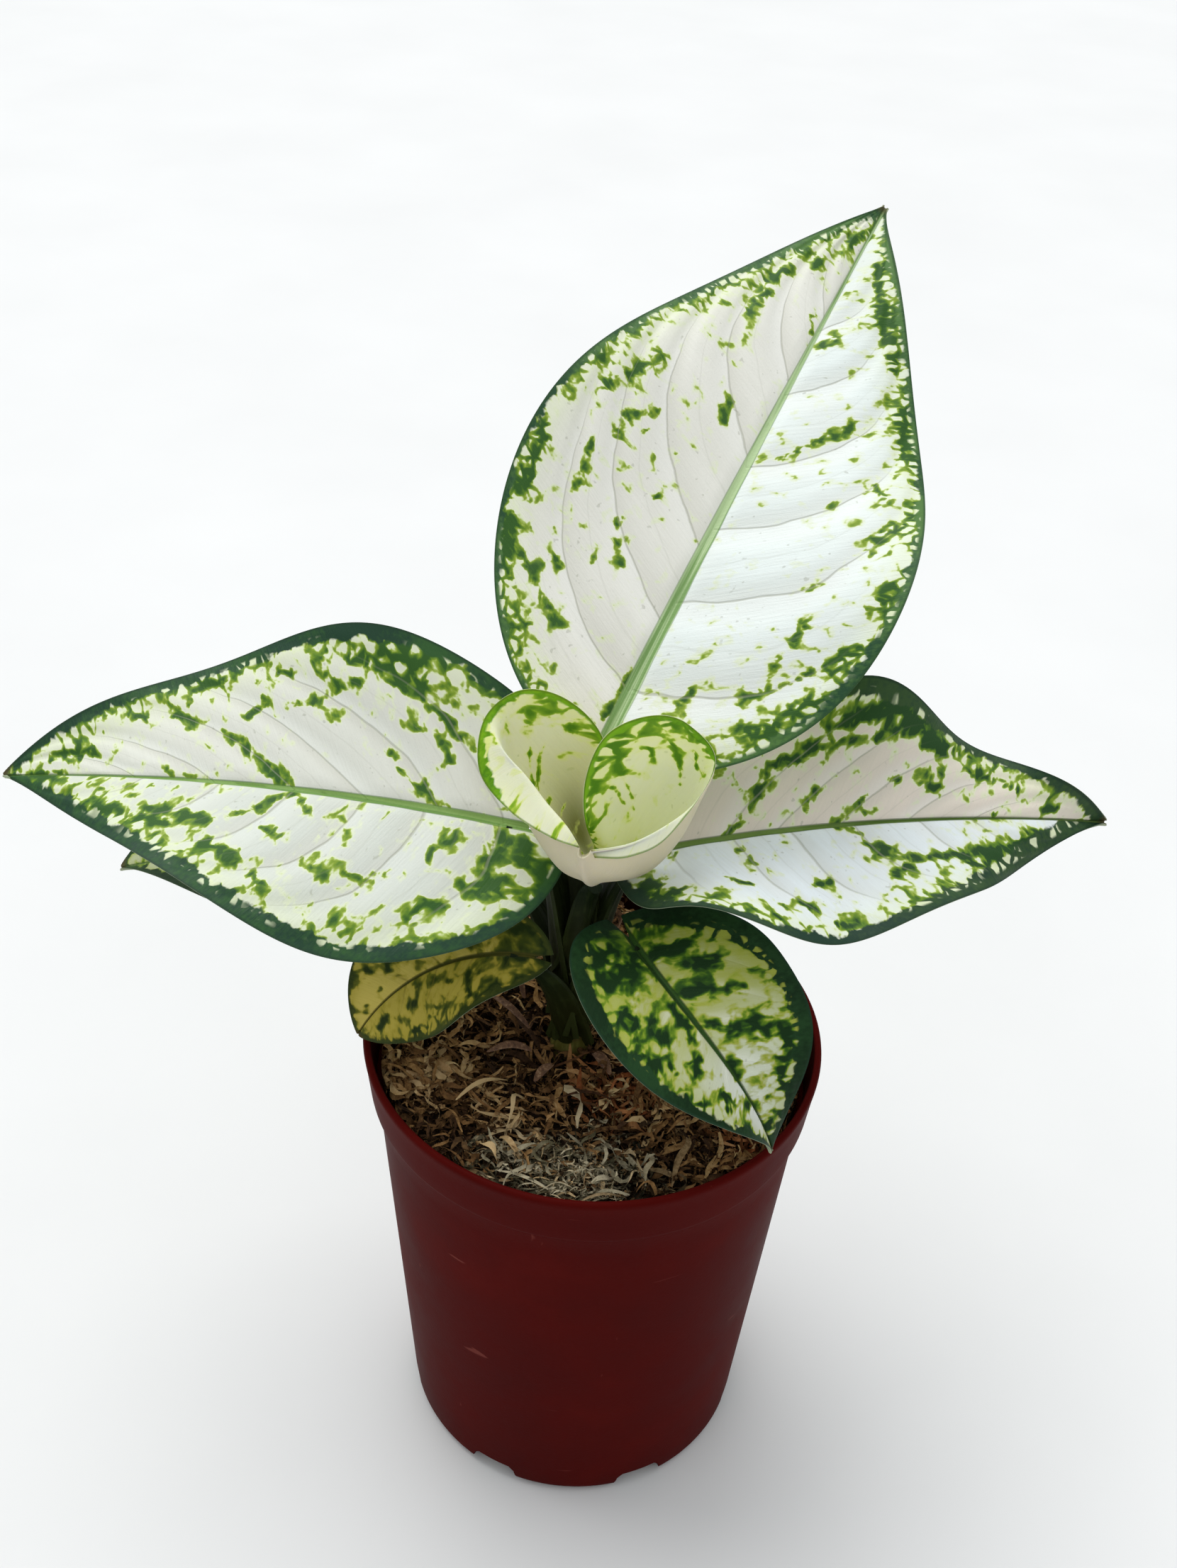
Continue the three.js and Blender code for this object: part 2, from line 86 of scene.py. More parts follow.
def srgb(red, green, blue):
    """A colour as seen on screen, 0 to 255, in the linear values that shaders use."""
    seen = [c / 255.0 for c in (red, green, blue)]
    return tuple(c / 12.92 if c <= 0.04045 else ((c + 0.055) / 1.055) ** 2.4 for c in seen) + (1.0,)


class Finish:
    """A material in the making. Each method adds one step and returns what comes out of it."""

    def __init__(self, name):
        self.material = bpy.data.materials.new(name)
        self.material.use_nodes = True
        self.tree = self.material.node_tree
        self.shader = self.tree.nodes["Principled BSDF"]

    def step(self, kind, inputs=None, **settings):
        made = self.tree.nodes.new("ShaderNode" + kind)
        for key, value in settings.items():
            setattr(made, key, value)
        for key, value in (inputs or {}).items():
            self.give(made.inputs[key], value)
        return made

    def give(self, socket, value):
        if isinstance(value, bpy.types.NodeSocket):
            self.tree.links.new(value, socket)
        else:
            socket.default_value = value

    def math(self, operation, *values):
        made = self.step("Math", operation=operation)
        for socket, value in zip(made.inputs, values):
            self.give(socket, value)
        return made.outputs[0]

    def plus(self, first, second):
        return self.math("ADD", first, second)

    def minus(self, first, second):
        return self.math("SUBTRACT", first, second)

    def times(self, first, second):
        return self.math("MULTIPLY", first, second)

    def times_plus(self, first, second, third):
        return self.math("MULTIPLY_ADD", first, second, third)

    def about(self, value, size):
        """Turns a texture's value from 0 to 1 into a swing about nothing, size from end to end."""
        return self.times(self.minus(value, 0.5), size)

    def vector(self, x, y, z=0.0):
        return self.step("CombineXYZ", {"X": x, "Y": y, "Z": z}).outputs["Vector"]

    def ramp(self, value, *stops):
        """Colours laid along a value, as (place, colour) pairs."""
        made = self.step("ValToRGB", {"Fac": value})
        points = made.color_ramp.elements
        while len(points) < len(stops):
            points.new(0.5)
        for point, (place, colour) in zip(points, stops):
            point.position = place
            point.color = colour
        return made.outputs["Color"]

    def mix(self, share, under, over):
        """A colour with a share of another laid over it."""
        return self.step("MixRGB", {"Fac": share, "Color1": under, "Color2": over}).outputs["Color"]

    def fade(self, value, low, high, at_low=0.0, at_high=1.0):
        """Turns a value smoothly from one level to another between two limits."""
        made = self.step("MapRange", {"Value": value}, interpolation_type="SMOOTHSTEP")
        set_range(made, low, high, at_low, at_high)
        return made.outputs["Result"]

    def place(self, scale=(1.0, 1.0, 1.0)):
        """The piece's own coordinates, stretched."""
        seat = self.step("TexCoord")
        made = self.step("Mapping", {"Vector": seat.outputs["Object"], "Scale": scale})
        return made.outputs["Vector"]

    def noise(self, vector, scale, detail=3.0, roughness=0.5, distortion=0.0):
        made = self.step("TexNoise", {"Vector": vector, "Scale": scale, "Detail": detail,
                                      "Roughness": roughness, "Distortion": distortion})
        return made.outputs["Fac"]

    def measure(self, name):
        """A number that the mesh carries at each of its points."""
        return self.step("Attribute", attribute_name=name).outputs["Fac"]

    def surface(self, colour, roughness, shine=0.5):
        """What the light meets: a colour, how rough it is, and how strongly it shines."""
        for key, value in (("Base Color", colour), ("Roughness", roughness), ("Specular IOR Level", shine)):
            self.give(self.shader.inputs[key], value)

    def bump(self, height, strength, distance):
        made = self.step("Bump", {"Height": height, "Strength": strength, "Distance": distance})
        self.tree.links.new(made.outputs["Normal"], self.shader.inputs["Normal"])


def solid_piece(name, points, faces, finishes=(), face_finish=None, measures=None):
    """An object from points in millimetres and faces, with the numbers that its finish reads."""
    mesh = bpy.data.meshes.new(name)
    mesh.from_pydata((np.asarray(points) * MM).tolist(), [], faces)
    mesh.polygons.foreach_set("use_smooth", np.ones(len(mesh.polygons), bool))
    for finish in finishes:
        mesh.materials.append(finish)
    if face_finish is not None:
        mesh.polygons.foreach_set("material_index", np.asarray(face_finish, np.int32))
    for key, values in (measures or {}).items():
        kept = mesh.attributes.new(key, "FLOAT", "POINT")
        kept.data.foreach_set("value", np.asarray(values, np.float32).ravel())
    mesh.update()
    piece = bpy.data.objects.new(name, mesh)
    bpy.context.scene.collection.objects.link(piece)
    return piece


def grid_faces(rows, columns, closed=False):
    """Faces over rows of points; closed joins the last point of each row to its first."""
    faces = []
    for r in range(rows - 1):
        for c in range(columns if closed else columns - 1):
            a, b = r * columns + c, r * columns + (c + 1) % columns
            faces.append((a, b, b + columns, a + columns))
    return faces


FLOOR_REACH = 9000.0
floor_finish = Finish("pale_floor")
floor_grain = floor_finish.noise(floor_finish.place(), 9.0, 4.0)
floor_colour = floor_finish.ramp(floor_grain, (0.3, srgb(231, 231, 230)), (0.7, srgb(235, 235, 234)))
floor_finish.surface(floor_colour, 0.75)
floor_corners = [(x * FLOOR_REACH, y * FLOOR_REACH, 0) for x, y in ((-1, -1), (1, -1), (1, 1), (-1, 1))]
floor = solid_piece("floor", floor_corners, [(0, 1, 2, 3)], [floor_finish.material])

# ------------------------------------------------------------------ pot
# A round nursery pot, injection moulded in satin oxblood plastic: a thin tapered wall, a stepped
# collar with a rounded lip, and seven shallow drain slots where the wall meets the floor.
POT_SIDES = 192
WALL = 1.5
RECESS = 0.9
POT_FLOOR = 2.2
CORNER = 3.0
FOOT_RADIUS = 39.7
WALL_FLARE = 7.5
WALL_TOP = 102.0
COLLAR_FOOT = 102.8
COLLAR_RADIUS = 48.7
COLLAR_FLARE = 1.3
COLLAR_HEIGHT = 12.2
RIM_RADIUS = 50.0
LIP_MIDDLE = (49.1, 114.0)
LIP_RADIUS = 0.98
DRAIN_SLOTS = 7
SLOT_REACH = (35.7, 43.7)
SLOT_SECTION = ((-6.8, -1.5), (6.8, -1.5), (5.3, 4.2), (4.1, 5.5), (-4.1, 5.5), (-5.3, 4.2))


def pot_radius(z):
    """Outside radius of the pot at a height."""
    if z >= COLLAR_FOOT:
        return COLLAR_RADIUS + COLLAR_FLARE * (z - COLLAR_FOOT) / COLLAR_HEIGHT
    return FOOT_RADIUS + WALL_FLARE * min(z / WALL_TOP, 1.0)


def pot_profile():
    """The pot's section as (radius, height), from the middle underneath round to the middle inside."""
    section = [(0.0, RECESS), (20.0, RECESS), (33.0, RECESS), (34.5, 0.0)]
    for i in range(9):
        a = math.radians(90.0 * i / 8)
        z = CORNER * (1 - math.cos(a))
        section.append((pot_radius(z) - CORNER * (1 - math.sin(a)), z))
    section += [(pot_radius(z), z) for z in np.linspace(8, 101.2, 16)]
    section += [(pot_radius(WALL_TOP) + 0.15, 101.7), (48.35, 102.2), (48.65, 102.6), (48.75, 103.2)]
    section += [(pot_radius(z), z) for z in (106.0, 110.0, 112.6)]
    section += [(RIM_RADIUS - 0.12, 113.2)]
    for i in range(9):
        a = math.radians(180.0 * i / 8)
        out, up = LIP_RADIUS * math.cos(a) * 0.88, LIP_RADIUS * math.sin(a)
        section.append((LIP_MIDDLE[0] + out, LIP_MIDDLE[1] + up))
    section += [(pot_radius(z) - WALL, z) for z in (112.0, 106.0, COLLAR_FOOT, 101.5, 80.0, 40.0, 5.0)]
    section += [(pot_radius(POT_FLOOR) - WALL - 2.0, POT_FLOOR), (0.0, POT_FLOOR)]
    return section


def turned(section, sides):
    """Points and faces of a section turned round the upright axis."""
    angles = np.linspace(0, 2 * np.pi, sides, endpoint=False)
    points = [(r * math.cos(a), r * math.sin(a), z) for r, z in section for a in angles]
    return points, grid_faces(len(section), sides, closed=True)


def slot_cutter(a):
    """A prism through the pot's foot, at an angle round it."""
    points = []
    for reach in SLOT_REACH:
        for side, high in SLOT_SECTION:
            x, y = reach * math.cos(a) - side * math.sin(a), reach * math.sin(a) + side * math.cos(a)
            points.append((x, y, high))
    faces = [(5, 4, 3, 2, 1, 0), (6, 7, 8, 9, 10, 11)]
    faces += [(k, (k + 1) % 6, 6 + (k + 1) % 6, 6 + k) for k in range(6)]
    return solid_piece("drain_cutter", points, faces)


def cut_away(piece, cutter):
    """Takes a cutter's volume out of a piece."""
    cut = piece.modifiers.new("cut", "BOOLEAN")
    cut.object = cutter
    cut.solver = "EXACT"
    bpy.context.view_layer.update()
    done = bpy.data.meshes.new_from_object(piece.evaluated_get(bpy.context.evaluated_depsgraph_get()))
    piece.modifiers.clear()
    piece.data = done
    bpy.data.objects.remove(cutter)


pot_finish = Finish("oxblood_plastic")
pot_flow = pot_finish.noise(pot_finish.place((6, 6, 30)), 1.6, 3.0, 0.55)
pot_cloud = pot_finish.noise(pot_finish.place(), 24.0, 4.0, 0.6)
pot_dust = pot_finish.noise(pot_finish.place((1, 1, 0.35)), 420.0, 2.0, 0.7)
pot_scuff = pot_finish.noise(pot_finish.place((1, 1, 7)), 62.0, 2.0, 0.4, 0.6)
pot_fine = pot_finish.noise(pot_finish.place(), 1500.0, 2.0, 0.5)
pot_colour = pot_finish.ramp(
    pot_cloud, (0.3, srgb(68, 10, 8)), (0.55, srgb(76, 12, 9)), (0.75, srgb(86, 16, 12))
)
for marks, low, high, share, pale in (
    (pot_dust, 0.72, 0.82, 0.22, srgb(150, 84, 72)),
    (pot_scuff, 0.745, 0.78, 0.24, srgb(170, 96, 84)),
):
    pot_colour = pot_finish.mix(pot_finish.fade(marks, low, high, 0.0, share), pot_colour, pale)
# Painted shade: inside the collar, above the wall's top, the pot is painted darker than outside, as it lies
# in its own shade.
pot_out = pot_finish.step("VectorMath", {"Vector": pot_finish.place((1, 1, 0))}, operation="LENGTH")
pot_high = pot_finish.step("SeparateXYZ", {"Vector": pot_finish.place()})
pot_inside_shade = pot_finish.times(
    pot_finish.fade(pot_out.outputs["Value"], 0.0483, 0.0486, 0.85, 0.0),
    pot_finish.fade(pot_high.outputs["Z"], 0.1027, 0.1029),
)
pot_colour = pot_finish.mix(pot_inside_shade, pot_colour, srgb(30, 12, 9))
pot_finish.surface(pot_colour, pot_finish.fade(pot_cloud, 0.25, 0.75, 0.42, 0.56), 0.015)
pot_relief = pot_finish.plus(pot_finish.times(pot_flow, 0.8), pot_finish.times(pot_fine, 0.2))
pot_finish.bump(pot_relief, 0.25, 0.0006)

pot_points, pot_faces = turned(pot_profile(), POT_SIDES)
pot = solid_piece("pot_moulding", pot_points, pot_faces, [pot_finish.material])
for i in range(DRAIN_SLOTS):
    cut_away(pot, slot_cutter(math.radians(360.0 * (i + 0.5) / DRAIN_SLOTS - 90)))
pot.data.set_sharp_from_angle(angle=math.radians(38))
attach(pot, "root")
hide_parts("pot")

# ------------------------------------------------------------------ potting mix and roots
# The pot is filled with damp brown peat mix, pressed in by hand, and the plant's fleshy cream
# roots run through it. Both are only seen through the drain slots.


def refinish(node, finish):
    """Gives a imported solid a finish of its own."""
    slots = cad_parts[node].data.materials
    slots.clear()
    slots.append(finish.material)


mix_finish = Finish("peat_mix")
mix_lumps = mix_finish.noise(mix_finish.place(), 260.0, 6.0, 0.7)
mix_colour = mix_finish.ramp(
    mix_lumps, (0.3, srgb(26, 18, 12)), (0.55, srgb(58, 42, 29)), (0.75, srgb(98, 76, 54))
)
mix_finish.surface(mix_colour, 0.95)
mix_finish.bump(mix_lumps, 0.9, 0.002)
refinish("potting_mix", mix_finish)

root_finish = Finish("root_skin")
root_rings = root_finish.noise(root_finish.place((1, 1, 3)), 400.0, 4.0, 0.6)
root_colour = root_finish.ramp(root_rings, (0.3, srgb(150, 128, 92)), (0.7, srgb(216, 202, 168)))
root_finish.surface(root_colour, 0.7)
root_finish.bump(root_rings, 0.4, 0.0006)
refinish("roots", root_finish)

# ------------------------------------------------------------------ moss
# The mix is dressed with dry moss: flat curled strands, most of them under a millimetre wide,
# thrown on loosely over finer crumbs. It is tan to orange brown, and pale and fluffy in front.
STEM_AXIS = (-5.0, 2.0)
STEM_CLEAR = 3.6
MOSS_EDGE = 45.8
MOSS_LEVEL = 106.4
MOSS_FRONT = 1.2
MOSS_BACK = 4.6
MOSS_SPAN = (103.0, 114.8)
BED_SINK = 1.3
BED_FOOT = 99.4
dice = np.random.default_rng(7)


class Heap:
    """Points, faces, finishes and measures of many small parts that make one piece."""

    def __init__(self):
        self.points, self.faces, self.finish, self.measures, self.size = [], [], [], [], 0

    def add(self, points, faces, finish=0, **measures):
        points = np.asarray(points, float).reshape(-1, 3)
        self.faces += [tuple(v + self.size for v in face) for face in faces]
        self.finish += [finish] * len(faces)
        self.measures.append((len(points), measures))
        self.points.append(points)
        self.size += len(points)

    def piece(self, name, finishes):
        keys = sorted({key for _, own in self.measures for key in own})
        whole = {
            key: np.concatenate([np.broadcast_to(np.asarray(own.get(key, 0.0), float).ravel(), count)
                                 for count, own in self.measures])
            for key in keys
        }
        return solid_piece(name, np.concatenate(self.points), self.faces, finishes, self.finish, whole)


def moss_height(x, y):
    """Height of the moss layer at a place: lumpy, and banked up in front and more so at the back."""
    angle, part = np.arctan2(y, x), np.hypot(x, y) / MOSS_EDGE
    lumps = 1.1 * np.sin(3 * angle + 1) * part + 0.9 * np.sin(7 * angle + 0.5) * np.sin(np.pi * part)
    bank = MOSS_FRONT * np.maximum(0, -np.sin(angle)) * part
    bank = bank + MOSS_BACK * np.maximum(0, np.sin(angle)) * part**2
    ripple = 0.8 * np.sin(x * 0.55 + 1.3) * np.sin(y * 0.61 + 0.4) + 0.5 * np.sin(x * 1.3 + y * 0.9)
    return MOSS_LEVEL + lumps + bank + ripple


def strand(x, y, z, length, width, heading, curl, lift, arch):
    """Points and faces of one flat curled strand."""
    steps = 10
    s = np.linspace(0, 1, steps)
    turn = heading + curl * (s - 0.5) + 0.5 * curl * np.sin(s * 7 + heading)
    seat = np.stack([
        x + np.cumsum(np.cos(turn)) * length / steps,
        y + np.cumsum(np.sin(turn)) * length / steps,
        z + lift * s * length + arch * np.sin(np.pi * s) * length * 0.3,
    ], -1)
    half = width / 2 * np.sin(np.pi * np.clip(s * 0.9 + 0.07, 0, 1)) ** 0.6
    twist = lift + 2.2 * curl * (s - 0.3)
    across = np.stack([-np.sin(turn) * np.cos(twist), np.cos(turn) * np.cos(twist), np.sin(twist)], -1)
    edge = across * half[:, None]
    hollow = np.array([0, 0, 0.5]) * half[:, None]
    rows = np.stack([seat - edge, seat - hollow, seat + edge], 1)
    return rows.reshape(-1, 3), grid_faces(steps, 3)


def throw_strands(heap, count, length, width, rise, shade, spot=None):
    """Throws strands over the bed, or over one spot (x, y, spread). By the wall they lie round it."""
    for _ in range(count):
        radius, angle = MOSS_EDGE * 0.985 * math.sqrt(dice.uniform(0.004, 1)), dice.uniform(0, 2 * np.pi)
        x, y = radius * math.cos(angle), radius * math.sin(angle)
        if spot:
            x, y = spot[0] + dice.normal(0, spot[2]), spot[1] + dice.normal(0, spot[2] * 0.6)
            radius, angle = math.hypot(x, y), math.atan2(y, x)
        if radius > MOSS_EDGE:
            continue
        long, heading = dice.uniform(*length), dice.uniform(0, 2 * np.pi)
        if radius > MOSS_EDGE - 5:
            heading = angle + math.pi / 2 + dice.normal(0, 0.5) + math.pi * dice.integers(0, 2)
        lie = dice.uniform(*rise)
        rows, faces = strand(
            x - 0.5 * long * math.cos(heading), y - 0.5 * long * math.sin(heading),
            moss_height(x, y) + lie, long, dice.uniform(*width), heading,
            dice.normal(0, 3.4), dice.normal(0.0, 0.2), dice.normal(0.2, 0.45),
        )
        if np.hypot(rows[:, 0] - STEM_AXIS[0], rows[:, 1] - STEM_AXIS[1]).min() < STEM_CLEAR:
            continue
        reach = np.hypot(rows[:, 0], rows[:, 1])
        rows[:, :2] *= np.minimum(1, (MOSS_EDGE + 0.4) / reach)[:, None]
        rows[:, 2] = np.clip(rows[:, 2], *MOSS_SPAN)
        grey = np.clip((-y - 16) / 18, 0, 1) * np.clip(1.35 - abs(x + 4) / 26, 0, 1)
        rust = math.exp(-((x - 5) ** 2 + (y + 14) ** 2) / 110)
        rust += math.exp(-((x - 34) ** 2 + (y + 22) ** 2) / 90)
        clump = 0.16 * math.sin(x * 0.42 + 2) * math.sin(y * 0.5 + 0.6) + 0.10 * math.sin(x * 0.13 + y * 0.1)
        # Painted shade: strands that lie low are painted darker and strands that lie high lighter, as shade
        # deepens down between them.
        heap.add(
            rows, faces, tone=shade + 0.10 * (lie - sum(rise) / 2) + dice.normal(0, 0.16) + clump,
            grey=grey * dice.uniform(0.2, 1.0), rust=(0.12 + rust) * dice.uniform(0, 1.0),
        )


moss_finish = Finish("dry_moss")
moss_fibre = moss_finish.noise(moss_finish.place(), 900.0, 4.0, 0.65)
moss_tone = moss_finish.plus(moss_finish.measure("tone"), moss_finish.about(moss_fibre, 0.55))
moss_colour = moss_finish.ramp(
    moss_tone, (0.05, srgb(30, 20, 13)), (0.3, srgb(72, 50, 33)), (0.5, srgb(124, 90, 54)),
    (0.68, srgb(166, 128, 82)), (0.9, srgb(202, 172, 126)),
)
for sort, low, high, stops in (
    ("rust", 0.25, 0.7, ((0.1, srgb(50, 24, 12)), (0.5, srgb(134, 76, 42)), (0.85, srgb(188, 126, 80)))),
    ("grey", 0.2, 0.6, ((0.1, srgb(32, 29, 20)), (0.5, srgb(96, 89, 66)), (0.9, srgb(186, 174, 146)))),
):
    moss_share = moss_finish.fade(moss_finish.measure(sort), low, high)
    moss_colour = moss_finish.mix(moss_share, moss_colour, moss_finish.ramp(moss_tone, *stops))
moss_finish.surface(moss_colour, 0.85, 0.1)
moss_finish.bump(moss_fibre, 0.7, 0.0006)

bed = Heap()
bed_rings, bed_sides = 46, 160
bed_points = []
for part in np.linspace(0.0, 1.0, bed_rings):
    for angle in np.linspace(0, 2 * np.pi, bed_sides, endpoint=False):
        x, y = part * MOSS_EDGE * math.cos(angle), part * MOSS_EDGE * math.sin(angle)
        bed_points.append((x, y, moss_height(x, y) - BED_SINK + dice.normal(0, 0.4)))
bed_points += [(x, y, BED_FOOT) for x, y, z in bed_points[-bed_sides:]]
bed.add(bed_points, grid_faces(bed_rings + 1, bed_sides, closed=True), tone=0.11)
moss_bed = bed.piece("moss_bed", [moss_finish.material])

# Each throw has a count, then a length, a width and a rise over the bed, each from least to most, a
# shade, and where it is not over the whole bed, its spot. The low crumbs get the darkest shade, partly
# as painted shade in the crevices between strands.
crumbs, tangle = Heap(), Heap()
for heap, *throw in (
    (crumbs, 3600, (2, 5), (0.3, 0.8), (-1.6, 0.3), 0.20),
    (tangle, 2700, (4, 11), (0.35, 1.1), (-1.3, 1.6), 0.42),
    (tangle, 700, (8, 17), (0.6, 1.6), (0.3, 2.8), 0.57),
    (tangle, 520, (2.5, 6), (0.2, 0.5), (0.4, 2.2), 0.58, (-3, -37, 6.5)),
    (tangle, 90, (6, 12), (0.9, 1.9), (1.0, 3.0), 0.74, (-37, -12, 5)),
    (tangle, 130, (5, 10), (0.5, 1.1), (0.8, 2.8), 0.62, (7, -14, 5)),
):
    throw_strands(heap, *throw)
moss_crumbs = crumbs.piece("moss_crumbs", [moss_finish.material])
moss_strands = tangle.piece("moss_strands", [moss_finish.material])
for piece in (moss_bed, moss_crumbs, moss_strands):
    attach(piece, "root")
    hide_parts("moss")

# ------------------------------------------------------------------ stem
# The short cane stands in the moss, olive green and ringed where old leaves fell off. Brown papery
# remains of their sheaths still cling to it.
STEM_TOP = 131.0
CANE_FOOT = 99.6
CANE_RADIUS = 4.1
CANE_TAPER = 1.1
LEAF_SCARS = (108.4, 112.2, 116.4, 121.0)

stem_finish = Finish("olive_stem")
stem_height = stem_finish.measure("height")
stem_streak = stem_finish.noise(stem_finish.place((1, 1, 0.16)), 900.0, 3.0, 0.6)
# Painted shade: the cane darkens from light olive at its foot to dark green at its top, where it stands in
# the shade of the leaves.
stem_colour_and_shade = stem_finish.ramp(
    stem_height, (0.0, srgb(116, 106, 44)), (0.45, srgb(76, 80, 30)), (1.0, srgb(30, 44, 18))
)
streak_share = stem_finish.fade(stem_streak, 0.35, 0.7, 0.0, 0.45)
stem_colour_and_shade = stem_finish.mix(streak_share, stem_colour_and_shade, srgb(150, 148, 84))
stem_colour_and_shade = stem_finish.mix(stem_finish.measure("scar"), stem_colour_and_shade, srgb(84, 62, 36))
stem_finish.surface(stem_colour_and_shade, 0.5, 0.15)
stem_finish.bump(stem_streak, 0.35, 0.0004)

husk_finish = Finish("papery_husk")
husk_vein = husk_finish.noise(husk_finish.place((1, 1, 0.3)), 1100.0, 4.0, 0.6)
husk_colour = husk_finish.ramp(
    husk_vein, (0.3, srgb(70, 44, 30)), (0.55, srgb(122, 86, 60)), (0.75, srgb(178, 146, 114))
)
husk_finish.surface(husk_colour, 0.8)
husk_finish.bump(husk_vein, 0.6, 0.0004)

cane = Heap()
cane_rows, cane_sides = 70, 40
cane_points, cane_high, cane_scar = [], [], []
for z in np.linspace(CANE_FOOT, STEM_TOP, cane_rows):
    scar = max(math.exp(-((z - ring) / 0.55) ** 2) for ring in LEAF_SCARS)
    swell = CANE_RADIUS - CANE_TAPER * min(max((z - 109) / 5, 0), 1) + 0.28 * scar
    for angle in np.linspace(0, 2 * np.pi, cane_sides, endpoint=False):
        r = swell + 0.12 * math.sin(3 * angle + z * 0.2)
        cane_points.append((STEM_AXIS[0] + r * math.cos(angle), STEM_AXIS[1] + r * math.sin(angle), z))
        cane_high.append((z - 105) / 24)
        cane_scar.append(0.7 * scar)
cane_points.append((*STEM_AXIS, STEM_TOP + 0.2))
top = (cane_rows - 1) * cane_sides
cane_faces = grid_faces(cane_rows, cane_sides, closed=True)
cane_faces += [(top + k, top + (k + 1) % cane_sides, top + cane_sides) for k in range(cane_sides)]
cane.add(cane_points, cane_faces, height=cane_high + [1.0], scar=cane_scar + [0.0])
# Each husk has a place, a heading, a length, a width and a lift.
for place, heading, length, width, lift in (
    ((-13, 0, 113), 2.6, 11, 2.6, 0.35), ((-15, 4, 118), 2.2, 8, 2.0, 0.6),
    ((-12, -4, 111), 3.4, 11, 2.8, 0.1), ((3, 6, 124), 0.9, 9, 2.6, 0.9),
    ((2, 8, 128), 1.3, 8, 2.0, 1.1), ((0, -3, 111), 5.2, 9, 2.6, 0.1),
    ((-2, 9, 113), 1.8, 12, 3.0, 0.3), ((-8, -6, 110), 4.2, 8, 2.2, 0.05),
):
    rows, faces = strand(*place, length, width, heading, dice.normal(0, 1.4), lift, 0.5)
    cane.add(rows, faces, finish=1)
stem = cane.piece("stem_cane", [stem_finish.material, husk_finish.material])
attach(stem, "root")
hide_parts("stem")

# ------------------------------------------------------------------ tall back leaf
# The tallest leaf stands behind the others and leans back to the right. Blade and stalk grew as
# one: a satin white blade with a broad pale midrib, flecked with green that gathers in its margin.


def towards(heading, rise):
    """Unit vectors from compass headings (0 is +Y, 90 is +X) and rises in degrees."""
    h, e = np.radians(heading), np.radians(rise)
    return np.stack([np.cos(e) * np.sin(h), np.cos(e) * np.cos(h), np.sin(e)], -1)


def half_width(side, t):
    """Half width of one side of a blade: widest where its two tapers balance."""
    base, tip = side["base_taper"], side["tip_taper"]
    widest = base / (base + tip)
    return side["width"] * (t / widest) ** base * ((1 - t) / (1 - widest)) ** tip


def blade_surface(leaf, t, v):
    """The upper surface: t runs from base to tip, v from the left margin (-1) to the right (1)."""
    steps = 1200
    middle = (np.arange(steps) + 0.5) / steps
    run = towards(leaf["heading"] + leaf["sweep"] * middle, leaf["rise"] - leaf["droop"] * middle)
    rib = np.concatenate([[np.zeros(3)], np.cumsum(run, 0)]) * leaf["length"] / steps + leaf["base"]
    rib = np.stack([np.interp(t, np.arange(steps + 1) / steps, rib[:, k]) for k in range(3)], -1)
    along = towards(leaf["heading"] + leaf["sweep"] * t, leaf["rise"] - leaf["droop"] * t)
    across = towards(leaf["heading"] + leaf["sweep"] * t + 90, 0 * t)
    up = np.cross(across, along)
    roll, u = np.radians(leaf["roll"] + leaf["twist"] * t), np.abs(v)
    out, lift = np.zeros_like(t), np.zeros_like(t)
    for sign, side in ((-1, leaf["left"]), (1, leaf["right"])):
        width = half_width(side, t) * (1 + side.get("swell", 0) * np.exp(-((t / 0.08) ** 2)))
        lean = np.radians(side["fold"] + side["curl"] * u / 2)
        swing = side["wave"] * np.sin(2 * np.pi * (side["waves"] * t + side["phase"]))
        rise = u * width * np.sin(lean) + u * u * np.sqrt(np.clip(np.sin(np.pi * t), 0, 1)) * swing
        own = (v < 0) == (sign < 0)
        out = np.where(own, sign * u * width * np.cos(lean), out)
        lift = np.where(own, rise, lift)
    back = leaf["lobe"] * u * np.exp(-((t / 0.16) ** 2))
    return (
        rib - along * back[..., None]
        + across * (out * np.cos(roll) - lift * np.sin(roll))[..., None]
        + up * (out * np.sin(roll) + lift * np.cos(roll))[..., None]
    )


def eased(low, high, count):
    """Places from low to high, closer together at both ends."""
    return low + (high - low) * (1 - np.cos(np.pi * np.arange(count) / (count - 1))) / 2


def grid_normal(points):
    """Upward unit normals of a grid of points whose rows run along a blade."""
    normal = np.cross(np.gradient(points, axis=1), np.gradient(points, axis=0))
    return normal / (np.linalg.norm(normal, axis=-1, keepdims=True) + 1e-12)


def shell(heap, upper, thickness, measures):
    """Closes a thin skin under a grid of surface points, with the same measures on both faces."""
    rows, columns = upper.shape[:2]
    lower = upper - grid_normal(upper) * thickness[..., None]
    count = rows * columns
    faces = grid_faces(rows, columns)
    faces += [tuple(k + count for k in reversed(face)) for face in faces]
    ring = list(range(columns)) + [r * columns + columns - 1 for r in range(1, rows)]
    ring += [count - 1 - c for c in range(1, columns)] + [r * columns for r in range(rows - 2, 0, -1)]
    faces += [(b, a, a + count, b + count) for a, b in zip(ring, ring[1:] + ring[:1])]
    both = {key: np.concatenate([np.ravel(value), np.ravel(value)]) for key, value in measures.items()}
    both["under"] = np.repeat([0.0, 1.0], count)
    heap.add(np.concatenate([upper.reshape(-1, 3), lower.reshape(-1, 3)]), faces, **both)


